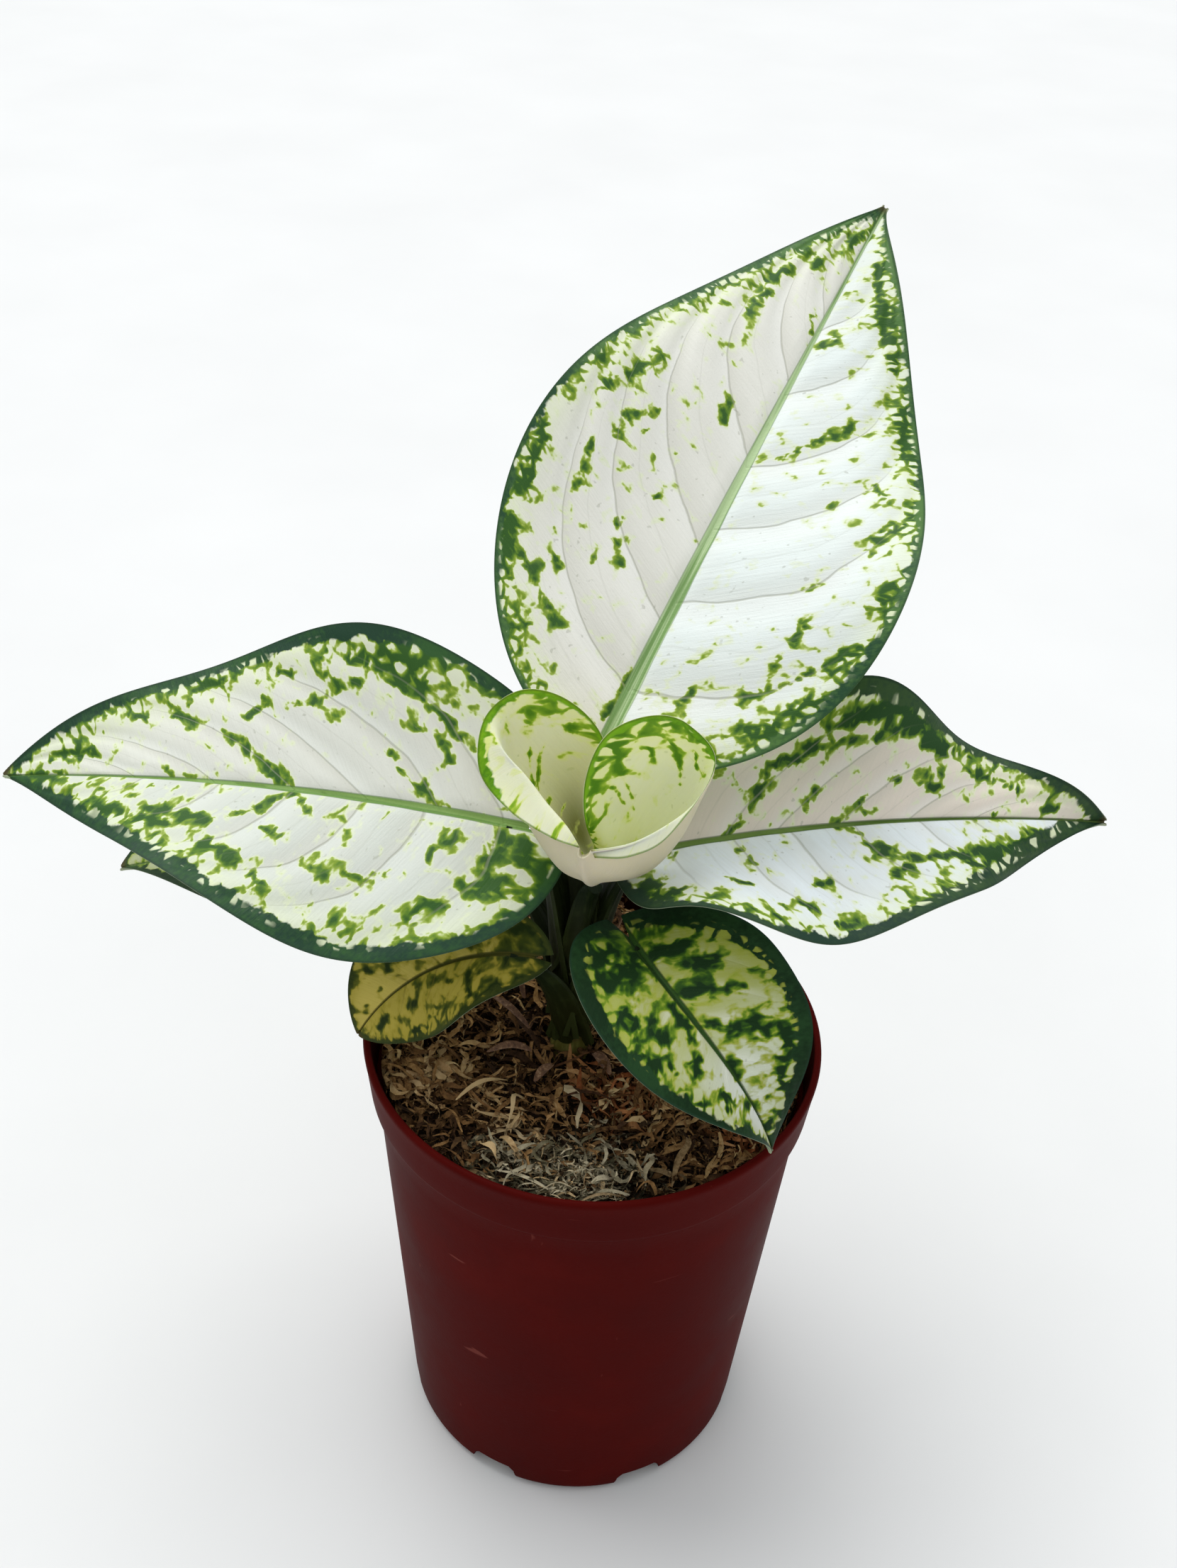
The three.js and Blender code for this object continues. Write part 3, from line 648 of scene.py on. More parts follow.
def fleck_paint(flecks, t, v, along, across):
    """How green the flecks make the blade. Each runs from one (t, v) to another, with a half width in mm."""
    paint = np.zeros_like(t)
    for t0, v0, t1, v1, reach in flecks:
        rows = [np.abs(t[:, 0] - at).argmin() for at in (t0, t1)]
        columns = [np.abs(v[0] - at).argmin() for at in (v0, v1)]
        x, y = along[rows[0], columns[0]], across[rows[0], columns[0]]
        dx, dy = along[rows[1], columns[1]] - x, across[rows[1], columns[1]] - y
        part = np.clip(((along - x) * dx + (across - y) * dy) / (dx * dx + dy * dy + 1e-6), 0, 1)
        far = np.hypot(along - x - part * dx, across - y - part * dy)
        strength, spread = 0.27 + 0.035 * reach, 0.85 * reach
        paint = np.maximum(paint, strength * np.exp(-((far / spread) ** 2)))
    return paint


def margin_gap(back, across):
    """Distance in millimetres from each point of a blade laid flat to its nearest margin."""
    gap = np.full(back.shape, 1e3)
    for x, y in ((back[:, 0], across[:, 0]), (back[:, -1], across[:, -1])):
        for k in range(len(x) - 1):
            dx, dy = x[k + 1] - x[k], y[k + 1] - y[k]
            part = np.clip(((back - x[k]) * dx + (across - y[k]) * dy) / (dx * dx + dy * dy), 0, 1)
            gap = np.minimum(gap, np.hypot(back - x[k] - part * dx, across - y[k] - part * dy))
    return gap


def vein_gap(leaf):
    """Usual distance in millimetres between two side veins."""
    starts = leaf["left"]["laterals"]
    return 0.72 * leaf["length"] * (starts[-1] - starts[0]) / (len(starts) - 1)


def grow_blade(heap, leaf, rows=170, columns=131):
    """The blade as a thin shell, with its veins pressed in and the numbers that its colouring reads."""
    t, v = np.meshgrid(eased(0.004, 0.997, rows), np.linspace(-1, 1, columns), indexing="ij")
    upper, u = blade_surface(leaf, t, v), np.abs(v)
    width, turn, band = np.zeros_like(t), np.zeros_like(t), np.zeros_like(t)
    ease = np.clip(t / 0.5, 0, 1)
    ease = 0.35 + 0.65 * ease * ease * (3 - 2 * ease)
    for sign, side in ((-1, leaf["left"]), (1, leaf["right"])):
        own = (v < 0) == (sign < 0)
        starts = np.array(side["laterals"])
        origin = t - (side["veins"][0] * u + side["veins"][1] * u**3) * ease
        count = np.interp(origin, starts, np.arange(len(starts)))
        count += np.minimum(origin - starts[0], 0) / (starts[1] - starts[0])
        count += np.maximum(origin - starts[-1], 0) / (starts[-1] - starts[-2])
        turn = np.where(own, np.clip(count, -0.5, len(starts) - 0.5), turn)
        width = np.where(own, half_width(side, t), width)
        band = np.where(own, np.interp(t, np.linspace(0, 1, len(side["band"])), side["band"]), band)
    along, across, rib = t * leaf["length"], v * width, u * width
    rim = margin_gap(along - leaf["lobe"] * u * np.exp(-((t / 0.16) ** 2)), across)
    crease = np.abs(turn - np.round(turn)) * vein_gap(leaf)
    press = 1 - np.exp(-((crease / 3.2) ** 2)) + 0.05 * np.cos(6 * np.pi * turn)
    trough = np.exp(-((rib / (np.interp(t, [0, 1], leaf["rib"]) * 1.3)) ** 2))
    settle = np.clip(rim / 4, 0, 1) * np.clip(rib / 3, 0, 1)
    upper = upper + grid_normal(upper) * (leaf["quilt"] * press * settle - 0.35 * trough)[..., None]
    keel = 1.1 * np.exp(-((rib / 1.4) ** 2)) * (1 - 0.75 * t)
    thickness = 0.16 + 0.36 * np.clip(rim / 1.2, 0, 1) + keel
    shell(heap, upper, thickness, {
        "along_mm": along, "across_mm": across, "rim_mm": rim, "band_mm": rim - band, "turn": turn,
        "rim_far": rim / np.clip(width / 14, 0.35, 1),
        "paint": fleck_paint(leaf["flecks"], t, v, along, across),
    })


def grow_stalk(heap, foot, end, along, climb, reach, radius):
    """The stalk: it clasps the stem with a thin sheath, climbs beside it and bends into the midrib."""
    rows, sides, tip_radius = 60, 28, 1.3
    foot, end, along = np.array(foot, float), np.array(end, float), np.array(along, float)
    up = np.array([-along[0] * along[2], -along[1] * along[2], along[0] ** 2 + along[1] ** 2])
    up /= np.linalg.norm(up)
    tip = end - up * tip_radius + along * 5
    bend = [np.array([*STEM_AXIS, foot[2] - 4]), foot + [0, 0, (tip[2] - foot[2]) * climb],
            tip - along * (reach + 2), tip]
    s = np.linspace(0, 1, rows)[:, None]
    path = (
        bend[0] * (1 - s) ** 3 + 3 * bend[1] * s * (1 - s) ** 2
        + 3 * bend[2] * s * s * (1 - s) + bend[3] * s**3
    )
    run = np.gradient(path, axis=0)
    run /= np.linalg.norm(run, axis=-1, keepdims=True)
    inward = np.array([*STEM_AXIS, 0.0]) - path * [1, 1, 0]
    inward = inward * (1 - s) + up * s * 4
    inward -= run * np.sum(inward * run, -1, keepdims=True)
    inward /= np.linalg.norm(inward, axis=-1, keepdims=True)
    side = np.cross(run, inward)
    angle = np.linspace(0, 2 * np.pi, sides, endpoint=False)[None, :]
    sheath = np.clip(1 - s / 0.8, 0, 1) ** 0.4
    wing = np.exp(-(((np.cos(angle) - 0.35) / 0.22) ** 2)) * sheath
    flute = np.exp(-((angle - 2 * np.pi * np.round(angle / (2 * np.pi))) / 0.75) ** 2)
    r = (radius + (tip_radius - radius) * s) * (1 - 0.38 * flute) * (1 + 1.15 * wing)
    points = path[:, None] + inward[:, None] * (r * np.cos(angle))[..., None]
    points = points + side[:, None] * (r * np.sin(angle) * 1.06)[..., None]
    faces = [tuple(reversed(face)) for face in grid_faces(rows, sides, closed=True)]
    faces += [tuple(range(sides)), tuple(reversed(range((rows - 1) * sides, rows * sides)))]
    heap.add(points, faces, finish=1, run=np.repeat(s, sides, 1), wing=wing, angle=np.repeat(angle, rows, 0))


class LeafSkin(Finish):
    """The blade's colouring: green flecks, a netted green margin and fine veins over a pale ground."""

    def __init__(self, name, leaf, look):
        super().__init__(name)
        self.leaf, self.look = leaf, look
        self.along, self.across = self.measure("along_mm"), self.measure("across_mm")
        self.rim = self.measure("rim_mm")
        self.rim_near = self.math("EXPONENT", self.times(self.measure("rim_far"), -1.0 / look["reach"]))
        self.rib, self.half = self.math("ABSOLUTE", self.across), self.math("SIGN", self.across)
        # The side veins leave the midrib at about 60 degrees, and the textures lie along them.
        slant, rise = 0.5, 0.87
        self.over_veins = self.times_plus(self.rib, -slant, self.times(self.along, rise))
        self.down_veins = self.times_plus(self.along, slant, self.times(self.rib, rise))
        self.speckle = self.noise(self.seat(2.5, 3.9, 0.0), 1.0, 2.0, 0.45, 0.4)
        self.cluster = self.noise(self.seat(13.0, 19.0, 3.1), 1.0, 2.0, 0.5)
        self.fine = self.noise(self.seat(0.8, 1.3, 5.7), 1.0, 2.0, 0.5)
        self.thread = self.noise(self.seat(0.5, 9.0, 8.3), 1.0, 3.0, 0.6)
        cells = {"Vector": self.seat(*look["cells"], 2.2, self.about(self.speckle, 0.8)), "Scale": 1.0}
        self.cell_edge = self.step("TexVoronoi", cells, feature="DISTANCE_TO_EDGE").outputs["Distance"]
        self.turn = self.plus(self.plus(self.measure("turn"), 4.0), self.about(self.cluster, 0.3))
        self.inside = self.fade(self.rim, 3.0, 15.0)
        self.vein = self.vein_line(self.turn, 0.06, 0.30, 1.0)

    def seat(self, wide, long, offset, sway=0.0):
        """Where a point lies in a texture, of a size in mm over the veins and down them. The two halves
        of a blade lie apart in it, and sway shifts the place by another texture."""
        return self.vector(
            self.plus(self.math("DIVIDE", self.over_veins, wide), sway),
            self.plus(self.math("DIVIDE", self.down_veins, long), sway),
            self.times_plus(self.half, 7.3, self.look["seed"] + offset),
        )

    def vein_line(self, turn, core, edge, show):
        """A fine line, core to edge in mm, wherever a count of the side veins is a whole number."""
        gap = self.times(self.math("PINGPONG", turn, 0.5), vein_gap(self.leaf))
        return self.times(self.fade(gap, core, edge, show, 0.0), self.inside)

    def coated(self, colour, *coats):
        """A colour under thin coats, each the share of it that shows and its name in the look."""
        for share, name in coats:
            colour = self.mix(share, colour, self.look[name])
        return colour

    def greenness(self):
        """How green a point is: speckled, more so by the margin, in the listed flecks, and at the base, where
        the extra green is partly painted shade.
        """
        look, paint = self.look, self.measure("paint")
        net = self.fade(self.cell_edge, 0.02, 0.34, 1.0, -1.0)
        zone = self.times_plus(self.rim_near, look["net"], self.times(paint, 0.30))
        amount = self.times_plus(net, zone, self.times_plus(self.rim_near, look["rim_green"], self.speckle))
        for more in (
            self.about(self.cluster, look["patchy"]), self.about(self.fine, 0.13), paint,
            self.fade(self.along, 0.0, 0.6 * self.leaf["length"], look["base_green_and_shade"], 0.0),
        ):
            amount = self.plus(amount, more)
        return self.minus(amount, look["clear"])

    def ground(self):
        """The pale ground, with painted shade and highlight that pleat it from vein to vein, painted shade in
        streaks and in the hollows, and a tint at the base and by the margin.
        """
        look, past = self.look, self.math("FRACT", self.turn)
        tinted = [part * self.leaf["length"] for part in look["tint_span"]]
        specks = self.noise(self.seat(1.1, 1.6, 11.9), 1.0, 1.0, 0.5)
        return self.coated(
            # Each half has its own ground colour, with the light and shade that falls on that half painted
            # into it.
            self.mix(self.fade(self.half, -0.5, 0.5), look["left_lit_ground"], look["right_lit_ground"]),
            (self.fade(self.along, *tinted, look["base_tint"], 0.0), "tint"),
            # Painted shade: soft streaks of shade along the veins.
            (self.fade(self.thread, 0.3, 0.7, 0.0, 0.10), "shade"),
            (self.fade(self.cluster, 0.35, 0.7, 0.0, 0.20), "shade"),
            # Painted highlight before each side vein and painted shade behind it, as on a quilted blade.
            (self.times(self.fade(past, 0.55, 0.98, 0.0, 0.35), self.inside), "crest_highlight"),
            (self.times(self.fade(past, 0.0, 0.34, look["pleat_shade"], 0.0), self.inside), "shade"),
            (self.fade(self.rim_near, 0.03, 0.55, 0.0, 0.55), "tint"),
            # Painted shade along the keel and in the throat of the unfurling leaf.
            (self.measure("hollow"), "keel"),
            (self.fade(specks, 0.70, 0.78, 0.0, 0.35), "vein"),
        )

    def flecked(self, colour):
        """Flecks over a colour, each from a yellowish halo to a deep green middle."""
        look, amount = self.look, self.greenness()
        colour = self.coated(colour, (self.fade(amount, 0.32, 0.46, 0.0, look["tint_show"]), "tint"))
        places = ((0.465, "halo"), (0.52, "bright"), (0.61, "middle"), (0.73, "deep"))
        green = self.ramp(amount, *((place, look[name]) for place, name in places))
        return self.mix(self.fade(amount, 0.435, 0.49), colour, green)

    def margined(self, colour):
        """A solid band along the margin, ragged on its inner side and broken by pale islands."""
        look = self.look
        ragged = self.minus(self.measure("band_mm"), self.about(self.speckle, look["ragged"]))
        ragged = self.minus(ragged, self.about(self.fine, 0.9))
        patch = self.plus(self.cluster, self.about(self.fine, 0.5))
        band = self.ramp(patch, (0.36, look["band_dark"]), (0.64, look["band_light"]))
        island = self.fade(self.cell_edge, 0.15, 0.24)
        for value, low, width in ((self.rim, look["solid"], 0.8), (self.cluster, look["islands"], 0.14)):
            island = self.times(island, self.fade(value, low, low + width))
        band = self.coated(band, (island, "tint"))
        colour = self.mix(self.fade(ragged, -0.35, 0.35, 1.0, 0.0), colour, band)
        return self.coated(colour, (self.fade(self.rim, 0.2, 0.6, 0.8, 0.0), "edge"))

    def veined(self, colour):
        """Fine side veins, and a smooth midrib with pale streaks and darker edges."""
        look, length = self.look, self.leaf["length"]
        between = self.vein_line(self.plus(self.turn, 0.5), 0.05, 0.25, 0.25)
        fine_share = self.times(self.math("MAXIMUM", self.vein, between), look["vein_show"])
        from_rib = self.minus(self.rib, self.fade(self.along, 0.0, length, *self.leaf["rib"]))
        down, out = self.math("DIVIDE", self.along, 45.0), self.math("DIVIDE", self.across, 0.7)
        streak = self.fade(self.noise(self.vector(out, down, look["seed"]), 1.0, 2.0, 0.5), 0.38, 0.60)
        midrib = self.mix(streak, look["rib_colour"], look["rib_light"])
        colour = self.coated(colour, (fine_share, "vein"))
        colour = self.mix(self.fade(from_rib, -0.2, 0.2, 1.0, 0.0), colour, midrib)
        return self.coated(colour, (self.times(self.math("COMPARE", from_rib, 0.0, 0.14), 0.4), "rib_edge"))

    def finished(self):
        """All of it together, with a withered tip and a pale underside, satin and finely ribbed."""
        look, length = self.look, self.leaf["length"]
        colour = self.veined(self.margined(self.flecked(self.ground())))
        withered = self.fade(self.along, 0.975 * length, 0.995 * length, 0.0, 0.8)
        colour = self.mix(withered, colour, srgb(92, 78, 46))
        colour = self.coated(colour, (self.times(self.measure("under"), look["under_show"]), "under"))
        self.surface(colour, self.fade(self.speckle, 0.3, 0.7, 0.42, 0.54), look["shine"])
        for key, value in (("Weight", look["glow"]), ("Radius", (1.0, 0.9, 0.5)), ("Scale", 0.0012)):
            self.shader.inputs["Subsurface " + key].default_value = value
        pores = self.noise(self.place(), 2400.0, 2.0, 0.6)
        relief = self.times_plus(self.thread, 0.6, self.times(pores, 0.25))
        self.bump(self.times_plus(self.vein, -0.6, relief), 0.35, 0.0005)
        return self.material


# All the stalks are smooth and green, with pale lengthwise streaks and paler edges on their sheaths.
STALK_RADIUS = 2.9
STALK_RING = 5.3
STALK_PALE = srgb(70, 82, 42)
stalk_finish = Finish("green_stalk")
stalk_run = stalk_finish.measure("run")
stalk_round = stalk_finish.times(stalk_finish.math("SINE", stalk_finish.measure("angle")), 2.2)
stalk_seat = stalk_finish.vector(stalk_round, stalk_finish.times(stalk_run, 3.0))
stalk_streak = stalk_finish.noise(stalk_seat, 2.0, 4.0, 0.6)
# Painted shade: the stalks' green is painted dark, and darker from the stem out to the blades, as they stand
# in the shade of the leaves.
stalk_colour_and_shade = stalk_finish.mix(stalk_finish.fade(stalk_run, 0.0, 0.8), srgb(42, 45, 17), srgb(18, 31, 13))
stalk_share = stalk_finish.fade(stalk_streak, 0.45, 0.75, 0.0, 0.30)
stalk_colour_and_shade = stalk_finish.mix(stalk_share, stalk_colour_and_shade, STALK_PALE)
stalk_share = stalk_finish.fade(stalk_finish.measure("wing"), 0.35, 0.95, 0.0, 0.45)
stalk_colour_and_shade = stalk_finish.mix(stalk_share, stalk_colour_and_shade, STALK_PALE)
stalk_finish.surface(stalk_colour_and_shade, 0.5, 0.12)
stalk_finish.bump(stalk_streak, 0.3, 0.0004)


def leaf_piece(name, leaf, look):
    """A whole leaf, blade and stalk, standing for the solid of the same name."""
    growth = Heap()
    grow_blade(growth, leaf)
    joint = leaf["joint"]
    a = math.radians(joint["angle"])
    foot = (STEM_AXIS[0] + STALK_RING * math.cos(a), STEM_AXIS[1] + STALK_RING * math.sin(a), joint["z"])
    along = towards(leaf["heading"], leaf["rise"])
    grow_stalk(growth, foot, leaf["base"], along, joint["climb"], joint["reach"], STALK_RADIUS)
    skin = LeafSkin(name + "_skin", leaf, look).finished()
    piece = growth.piece(name + "_grown", [skin, stalk_finish.material])
    piece.data.set_sharp_from_angle(angle=math.radians(55))
    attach(piece, "root")
    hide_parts(name)


# A look is a leaf's colouring. Seed moves its textures, and clear says how bare of green it is. Net
# and rim_green make it greener by the margin, as far in as reach in mm, and patchy sets how far its
# flecks gather. The margin's band is uneven by ragged mm. Beyond solid mm, pale islands break it.
# The two grounds of a blade differ by the light and shade painted onto each half.
white_look = {
    "seed": 1.0, "clear": 0.23, "rim_green": 0.25, "reach": 4.6, "patchy": 0.38, "net": 0.24,
    "cells": (1.9, 2.8), "ragged": 4.5, "solid": 0.7, "islands": 0.40, "pleat_shade": 0.30,
    "base_green_and_shade": 0.0, "base_tint": 0.0, "tint_span": (0.1, 0.7), "tint_show": 0.7,
    "shine": 0.2, "glow": 0.0, "vein_show": 0.45, "under_show": 0.65,
    "left_lit_ground": srgb(236, 235, 225), "right_lit_ground": srgb(237, 245, 241), "tint": srgb(228, 236, 196),
    "shade": srgb(202, 200, 186), "crest_highlight": srgb(246, 246, 240), "keel": srgb(150, 150, 84),
    "halo": srgb(190, 208, 116), "bright": srgb(134, 160, 46), "middle": srgb(90, 128, 36),
    "deep": srgb(52, 92, 34), "band_dark": srgb(42, 78, 50), "band_light": srgb(84, 122, 62),
    "edge": srgb(46, 78, 44), "vein": srgb(150, 152, 130), "rib_colour": srgb(126, 162, 96),
    "rib_light": srgb(184, 208, 156), "rib_edge": srgb(104, 132, 80), "under": srgb(188, 200, 168),
}
leaf_piece("leaf_tall_back", {
    "base": (-2, 10.5, 181.5), "heading": 33, "sweep": -9, "rise": 45, "droop": 22, "length": 141.5,
    "roll": -10, "twist": -9, "lobe": 3, "quilt": 0.65, "rib": (1.55, 0.2),
    "left": {"width": 43.5, "base_taper": 0.63, "tip_taper": 1.14, "fold": 9.5, "curl": -6,
             "wave": -3.4, "waves": 1.7, "phase": -0.05, "veins": (0.28, 0.25),
             "laterals": (0.09, 0.205, 0.33, 0.485, 0.62, 0.75), "band": (1.6, 1.2, 1.4, 2.4, 1.6)},
    "right": {"width": 43.5, "base_taper": 0.64, "tip_taper": 1.36, "fold": 11, "curl": -3.5,
              "wave": 4.6, "waves": 1.97, "phase": -0.49, "veins": (0.14, 0.17),
              "laterals": (0.10, 0.24, 0.36, 0.475, 0.60, 0.73), "band": (1.2, 2.4, 1.6, 1.4, 1.2)},
    "flecks": (
        (0.21, -0.83, 0.145, -0.58, 1.0), (0.205, -0.76, 0.20, -0.74, 1.8), (0.15, -0.58, 0.145, -0.52, 1.7),
        (0.28, -0.38, 0.255, -0.33, 1.7), (0.245, -0.46, 0.25, -0.46, 1.1), (0.225, -0.65, 0.22, -0.63, 1.5),
        (0.32, -0.42, 0.31, -0.42, 1.4), (0.37, -0.3, 0.37, -0.31, 0.8), (0.455, -0.63, 0.42, -0.61, 1.6),
        (0.405, -0.70, 0.33, -0.66, 1.1), (0.47, -0.6, 0.455, -0.6, 1.1), (0.485, -0.53, 0.475, -0.53, 1.0),
        (0.515, -0.76, 0.56, -0.69, 1.9), (0.48, -0.8, 0.485, -0.8, 1.5), (0.525, -0.21, 0.555, -0.25, 1.5),
        (0.535, -0.25, 0.54, -0.28, 1.1), (0.745, -0.57, 0.705, -0.54, 1.9), (0.80, -0.63, 0.77, -0.66, 1.6),
        (0.84, -0.45, 0.82, -0.43, 1.1), (0.93, -0.12, 0.895, -0.28, 1.7), (0.74, -0.1, 0.72, -0.04, 1.1),
        (0.45, -0.5, 0.45, -0.5, 0.8), (0.13, -0.78, 0.13, -0.78, 1.2), (0.05, -0.10, 0.12, -0.05, 1.2),
        (0.25, -0.92, 0.21, -0.94, 2.2), (0.30, -0.90, 0.35, -0.90, 1.8), (0.39, -0.93, 0.36, -0.90, 1.6),
        (0.545, 0.30, 0.565, 0.41, 1.6), (0.505, 0.15, 0.53, 0.27, 0.9), (0.595, 0.50, 0.58, 0.47, 1.4),
        (0.70, 0.10, 0.73, 0.22, 1.9), (0.87, 0.60, 0.82, 0.62, 1.1), (0.80, 0.68, 0.71, 0.80, 1.8),
        (0.65, 0.86, 0.58, 0.92, 2.2), (0.515, 0.71, 0.50, 0.76, 1.1), (0.46, 0.53, 0.46, 0.52, 1.2),
        (0.34, 0.62, 0.325, 0.55, 1.2), (0.46, 0.88, 0.42, 0.76, 1.5), (0.40, 0.78, 0.40, 0.76, 1.4),
        (0.285, 0.62, 0.25, 0.63, 1.8), (0.215, 0.62, 0.21, 0.61, 1.4), (0.155, 0.60, 0.195, 0.72, 1.4),
        (0.135, 0.34, 0.11, 0.34, 1.3), (0.115, 0.78, 0.135, 0.86, 2.1), (0.165, 0.84, 0.19, 0.90, 1.9),
        (0.24, 0.84, 0.265, 0.90, 2.3), (0.33, 0.90, 0.36, 0.93, 2.2), (0.205, 0.76, 0.225, 0.79, 1.0),
    ),
    "joint": {"angle": 78, "z": 119, "climb": 0.45, "reach": 6},
}, white_look)

# ------------------------------------------------------------------ left leaf
# The large leaf that lies out to the left, on a stalk that clasps the stem. Its lower margin turns
# down in a broad dark green band, and green patches that follow its side veins cross its upper half.
leaf_piece("leaf_left", {
    "base": (-15.3, 7, 163.6), "heading": -89, "sweep": 13, "rise": 10, "droop": 26.5, "length": 117.5,
    "roll": 23.5, "twist": -20, "lobe": 9, "quilt": 0.55, "rib": (1.0, 0.12),
    "left": {"width": 35.8, "base_taper": 0.55, "tip_taper": 1.33, "fold": 2.5, "curl": -10,
             "wave": 3.2, "waves": 1.57, "phase": 0.34, "veins": (0.14, 0.20),
             "laterals": (0.06, 0.185, 0.30, 0.42, 0.56, 0.70), "band": (1.8, 3.6, 4.4, 3.2, 1.2)},
    "right": {"width": 35.2, "base_taper": 0.49, "tip_taper": 0.93, "fold": 17.5, "curl": 13.5,
              "wave": 3.4, "waves": 1.63, "phase": -0.26, "veins": (0.43, 0.0),
              "laterals": (0.05, 0.16, 0.29, 0.42, 0.58, 0.72), "band": (1.4, 2.4, 3.4, 2.4, 1.0)},
    "flecks": (
        (0.155, 0.03, 0.205, 0.12, 2.1), (0.21, 0.13, 0.25, 0.22, 0.7), (0.43, 0.02, 0.475, 0.12, 2.2),
        (0.475, 0.12, 0.53, 0.27, 1.6), (0.53, 0.27, 0.58, 0.38, 1.4), (0.64, 0.50, 0.68, 0.60, 1.7),
        (0.53, 0.47, 0.52, 0.52, 1.4), (0.505, 0.56, 0.515, 0.60, 1.0), (0.44, 0.54, 0.40, 0.56, 1.6),
        (0.41, 0.55, 0.375, 0.45, 1.9), (0.46, 0.53, 0.44, 0.54, 1.2), (0.375, 0.62, 0.42, 0.80, 1.4),
        (0.30, 0.88, 0.255, 0.86, 2.5), (0.255, 0.86, 0.24, 0.72, 2.6), (0.34, 0.80, 0.29, 0.76, 1.7),
        (0.30, 0.74, 0.26, 0.70, 1.6), (0.235, 0.68, 0.18, 0.55, 1.3), (0.18, 0.55, 0.145, 0.47, 1.5),
        (0.195, 0.48, 0.165, 0.36, 1.7), (0.25, 0.50, 0.225, 0.48, 1.2), (0.28, 0.42, 0.28, 0.40, 1.0),
        (0.265, 0.29, 0.26, 0.27, 1.2), (0.35, 0.68, 0.345, 0.66, 1.1), (0.36, 0.78, 0.33, 0.78, 1.5),
        (0.90, 0.35, 0.83, 0.42, 1.7), (0.83, 0.42, 0.81, 0.30, 1.9), (0.86, 0.30, 0.84, 0.27, 1.3),
        (0.74, 0.65, 0.735, 0.62, 1.5), (0.66, 0.06, 0.65, 0.05, 1.0), (0.62, 0.04, 0.61, 0.03, 1.0),
        (0.93, 0.06, 0.87, 0.05, 0.8), (0.60, 0.80, 0.63, 0.84, 1.6), (0.47, 0.74, 0.50, 0.78, 1.5),
        (0.425, -0.03, 0.455, -0.12, 1.6), (0.455, -0.12, 0.47, -0.2, 1.8), (0.475, -0.20, 0.53, -0.36, 1.1),
        (0.56, -0.42, 0.61, -0.42, 2.5), (0.61, -0.42, 0.655, -0.45, 2.0), (0.62, -0.55, 0.68, -0.60, 1.9),
        (0.54, -0.58, 0.49, -0.64, 2.1), (0.49, -0.64, 0.48, -0.56, 1.5), (0.435, -0.34, 0.415, -0.39, 1.7),
        (0.445, -0.36, 0.455, -0.34, 1.0), (0.4, -0.08, 0.385, -0.15, 1.4), (0.355, -0.53, 0.335, -0.56, 1.9),
        (0.45, -0.68, 0.43, -0.72, 1.6), (0.25, -0.50, 0.225, -0.46, 1.6), (0.175, -0.36, 0.165, -0.29, 1.4),
        (0.15, -0.24, 0.13, -0.16, 1.6), (0.19, -0.74, 0.165, -0.66, 2.1), (0.165, -0.66, 0.145, -0.68, 2.1),
        (0.09, -0.40, 0.055, -0.20, 2.2), (0.10, -0.60, 0.07, -0.60, 2.6), (0.125, -0.56, 0.115, -0.62, 1.4),
        (0.04, -0.45, 0.03, -0.30, 2.0), (0.68, -0.13, 0.675, -0.12, 1.3), (0.635, -0.15, 0.63, -0.14, 1.3),
        (0.92, -0.10, 0.86, -0.25, 1.6), (0.29, -0.52, 0.27, -0.53, 1.3), (0.72, -0.60, 0.76, -0.66, 1.5),
    ),
    "joint": {"angle": 182, "z": 116, "climb": 0.75, "reach": 11},
}, {
    **white_look, "seed": 21.0, "clear": 0.232, "rim_green": 0.31, "reach": 6.2, "pleat_shade": 0.36, "solid": 1.6,
    "net": 0.26, "cells": (2.5, 3.8),
    "left_lit_ground": srgb(214, 219, 209), "right_lit_ground": srgb(226, 227, 216), "crest_highlight": srgb(234, 238, 230),
    "rib_colour": srgb(104, 142, 66), "rib_light": srgb(136, 170, 92), "rib_edge": srgb(66, 104, 42),
    "band_dark": srgb(34, 66, 46), "band_light": srgb(52, 92, 46), "edge": srgb(32, 60, 38),
})

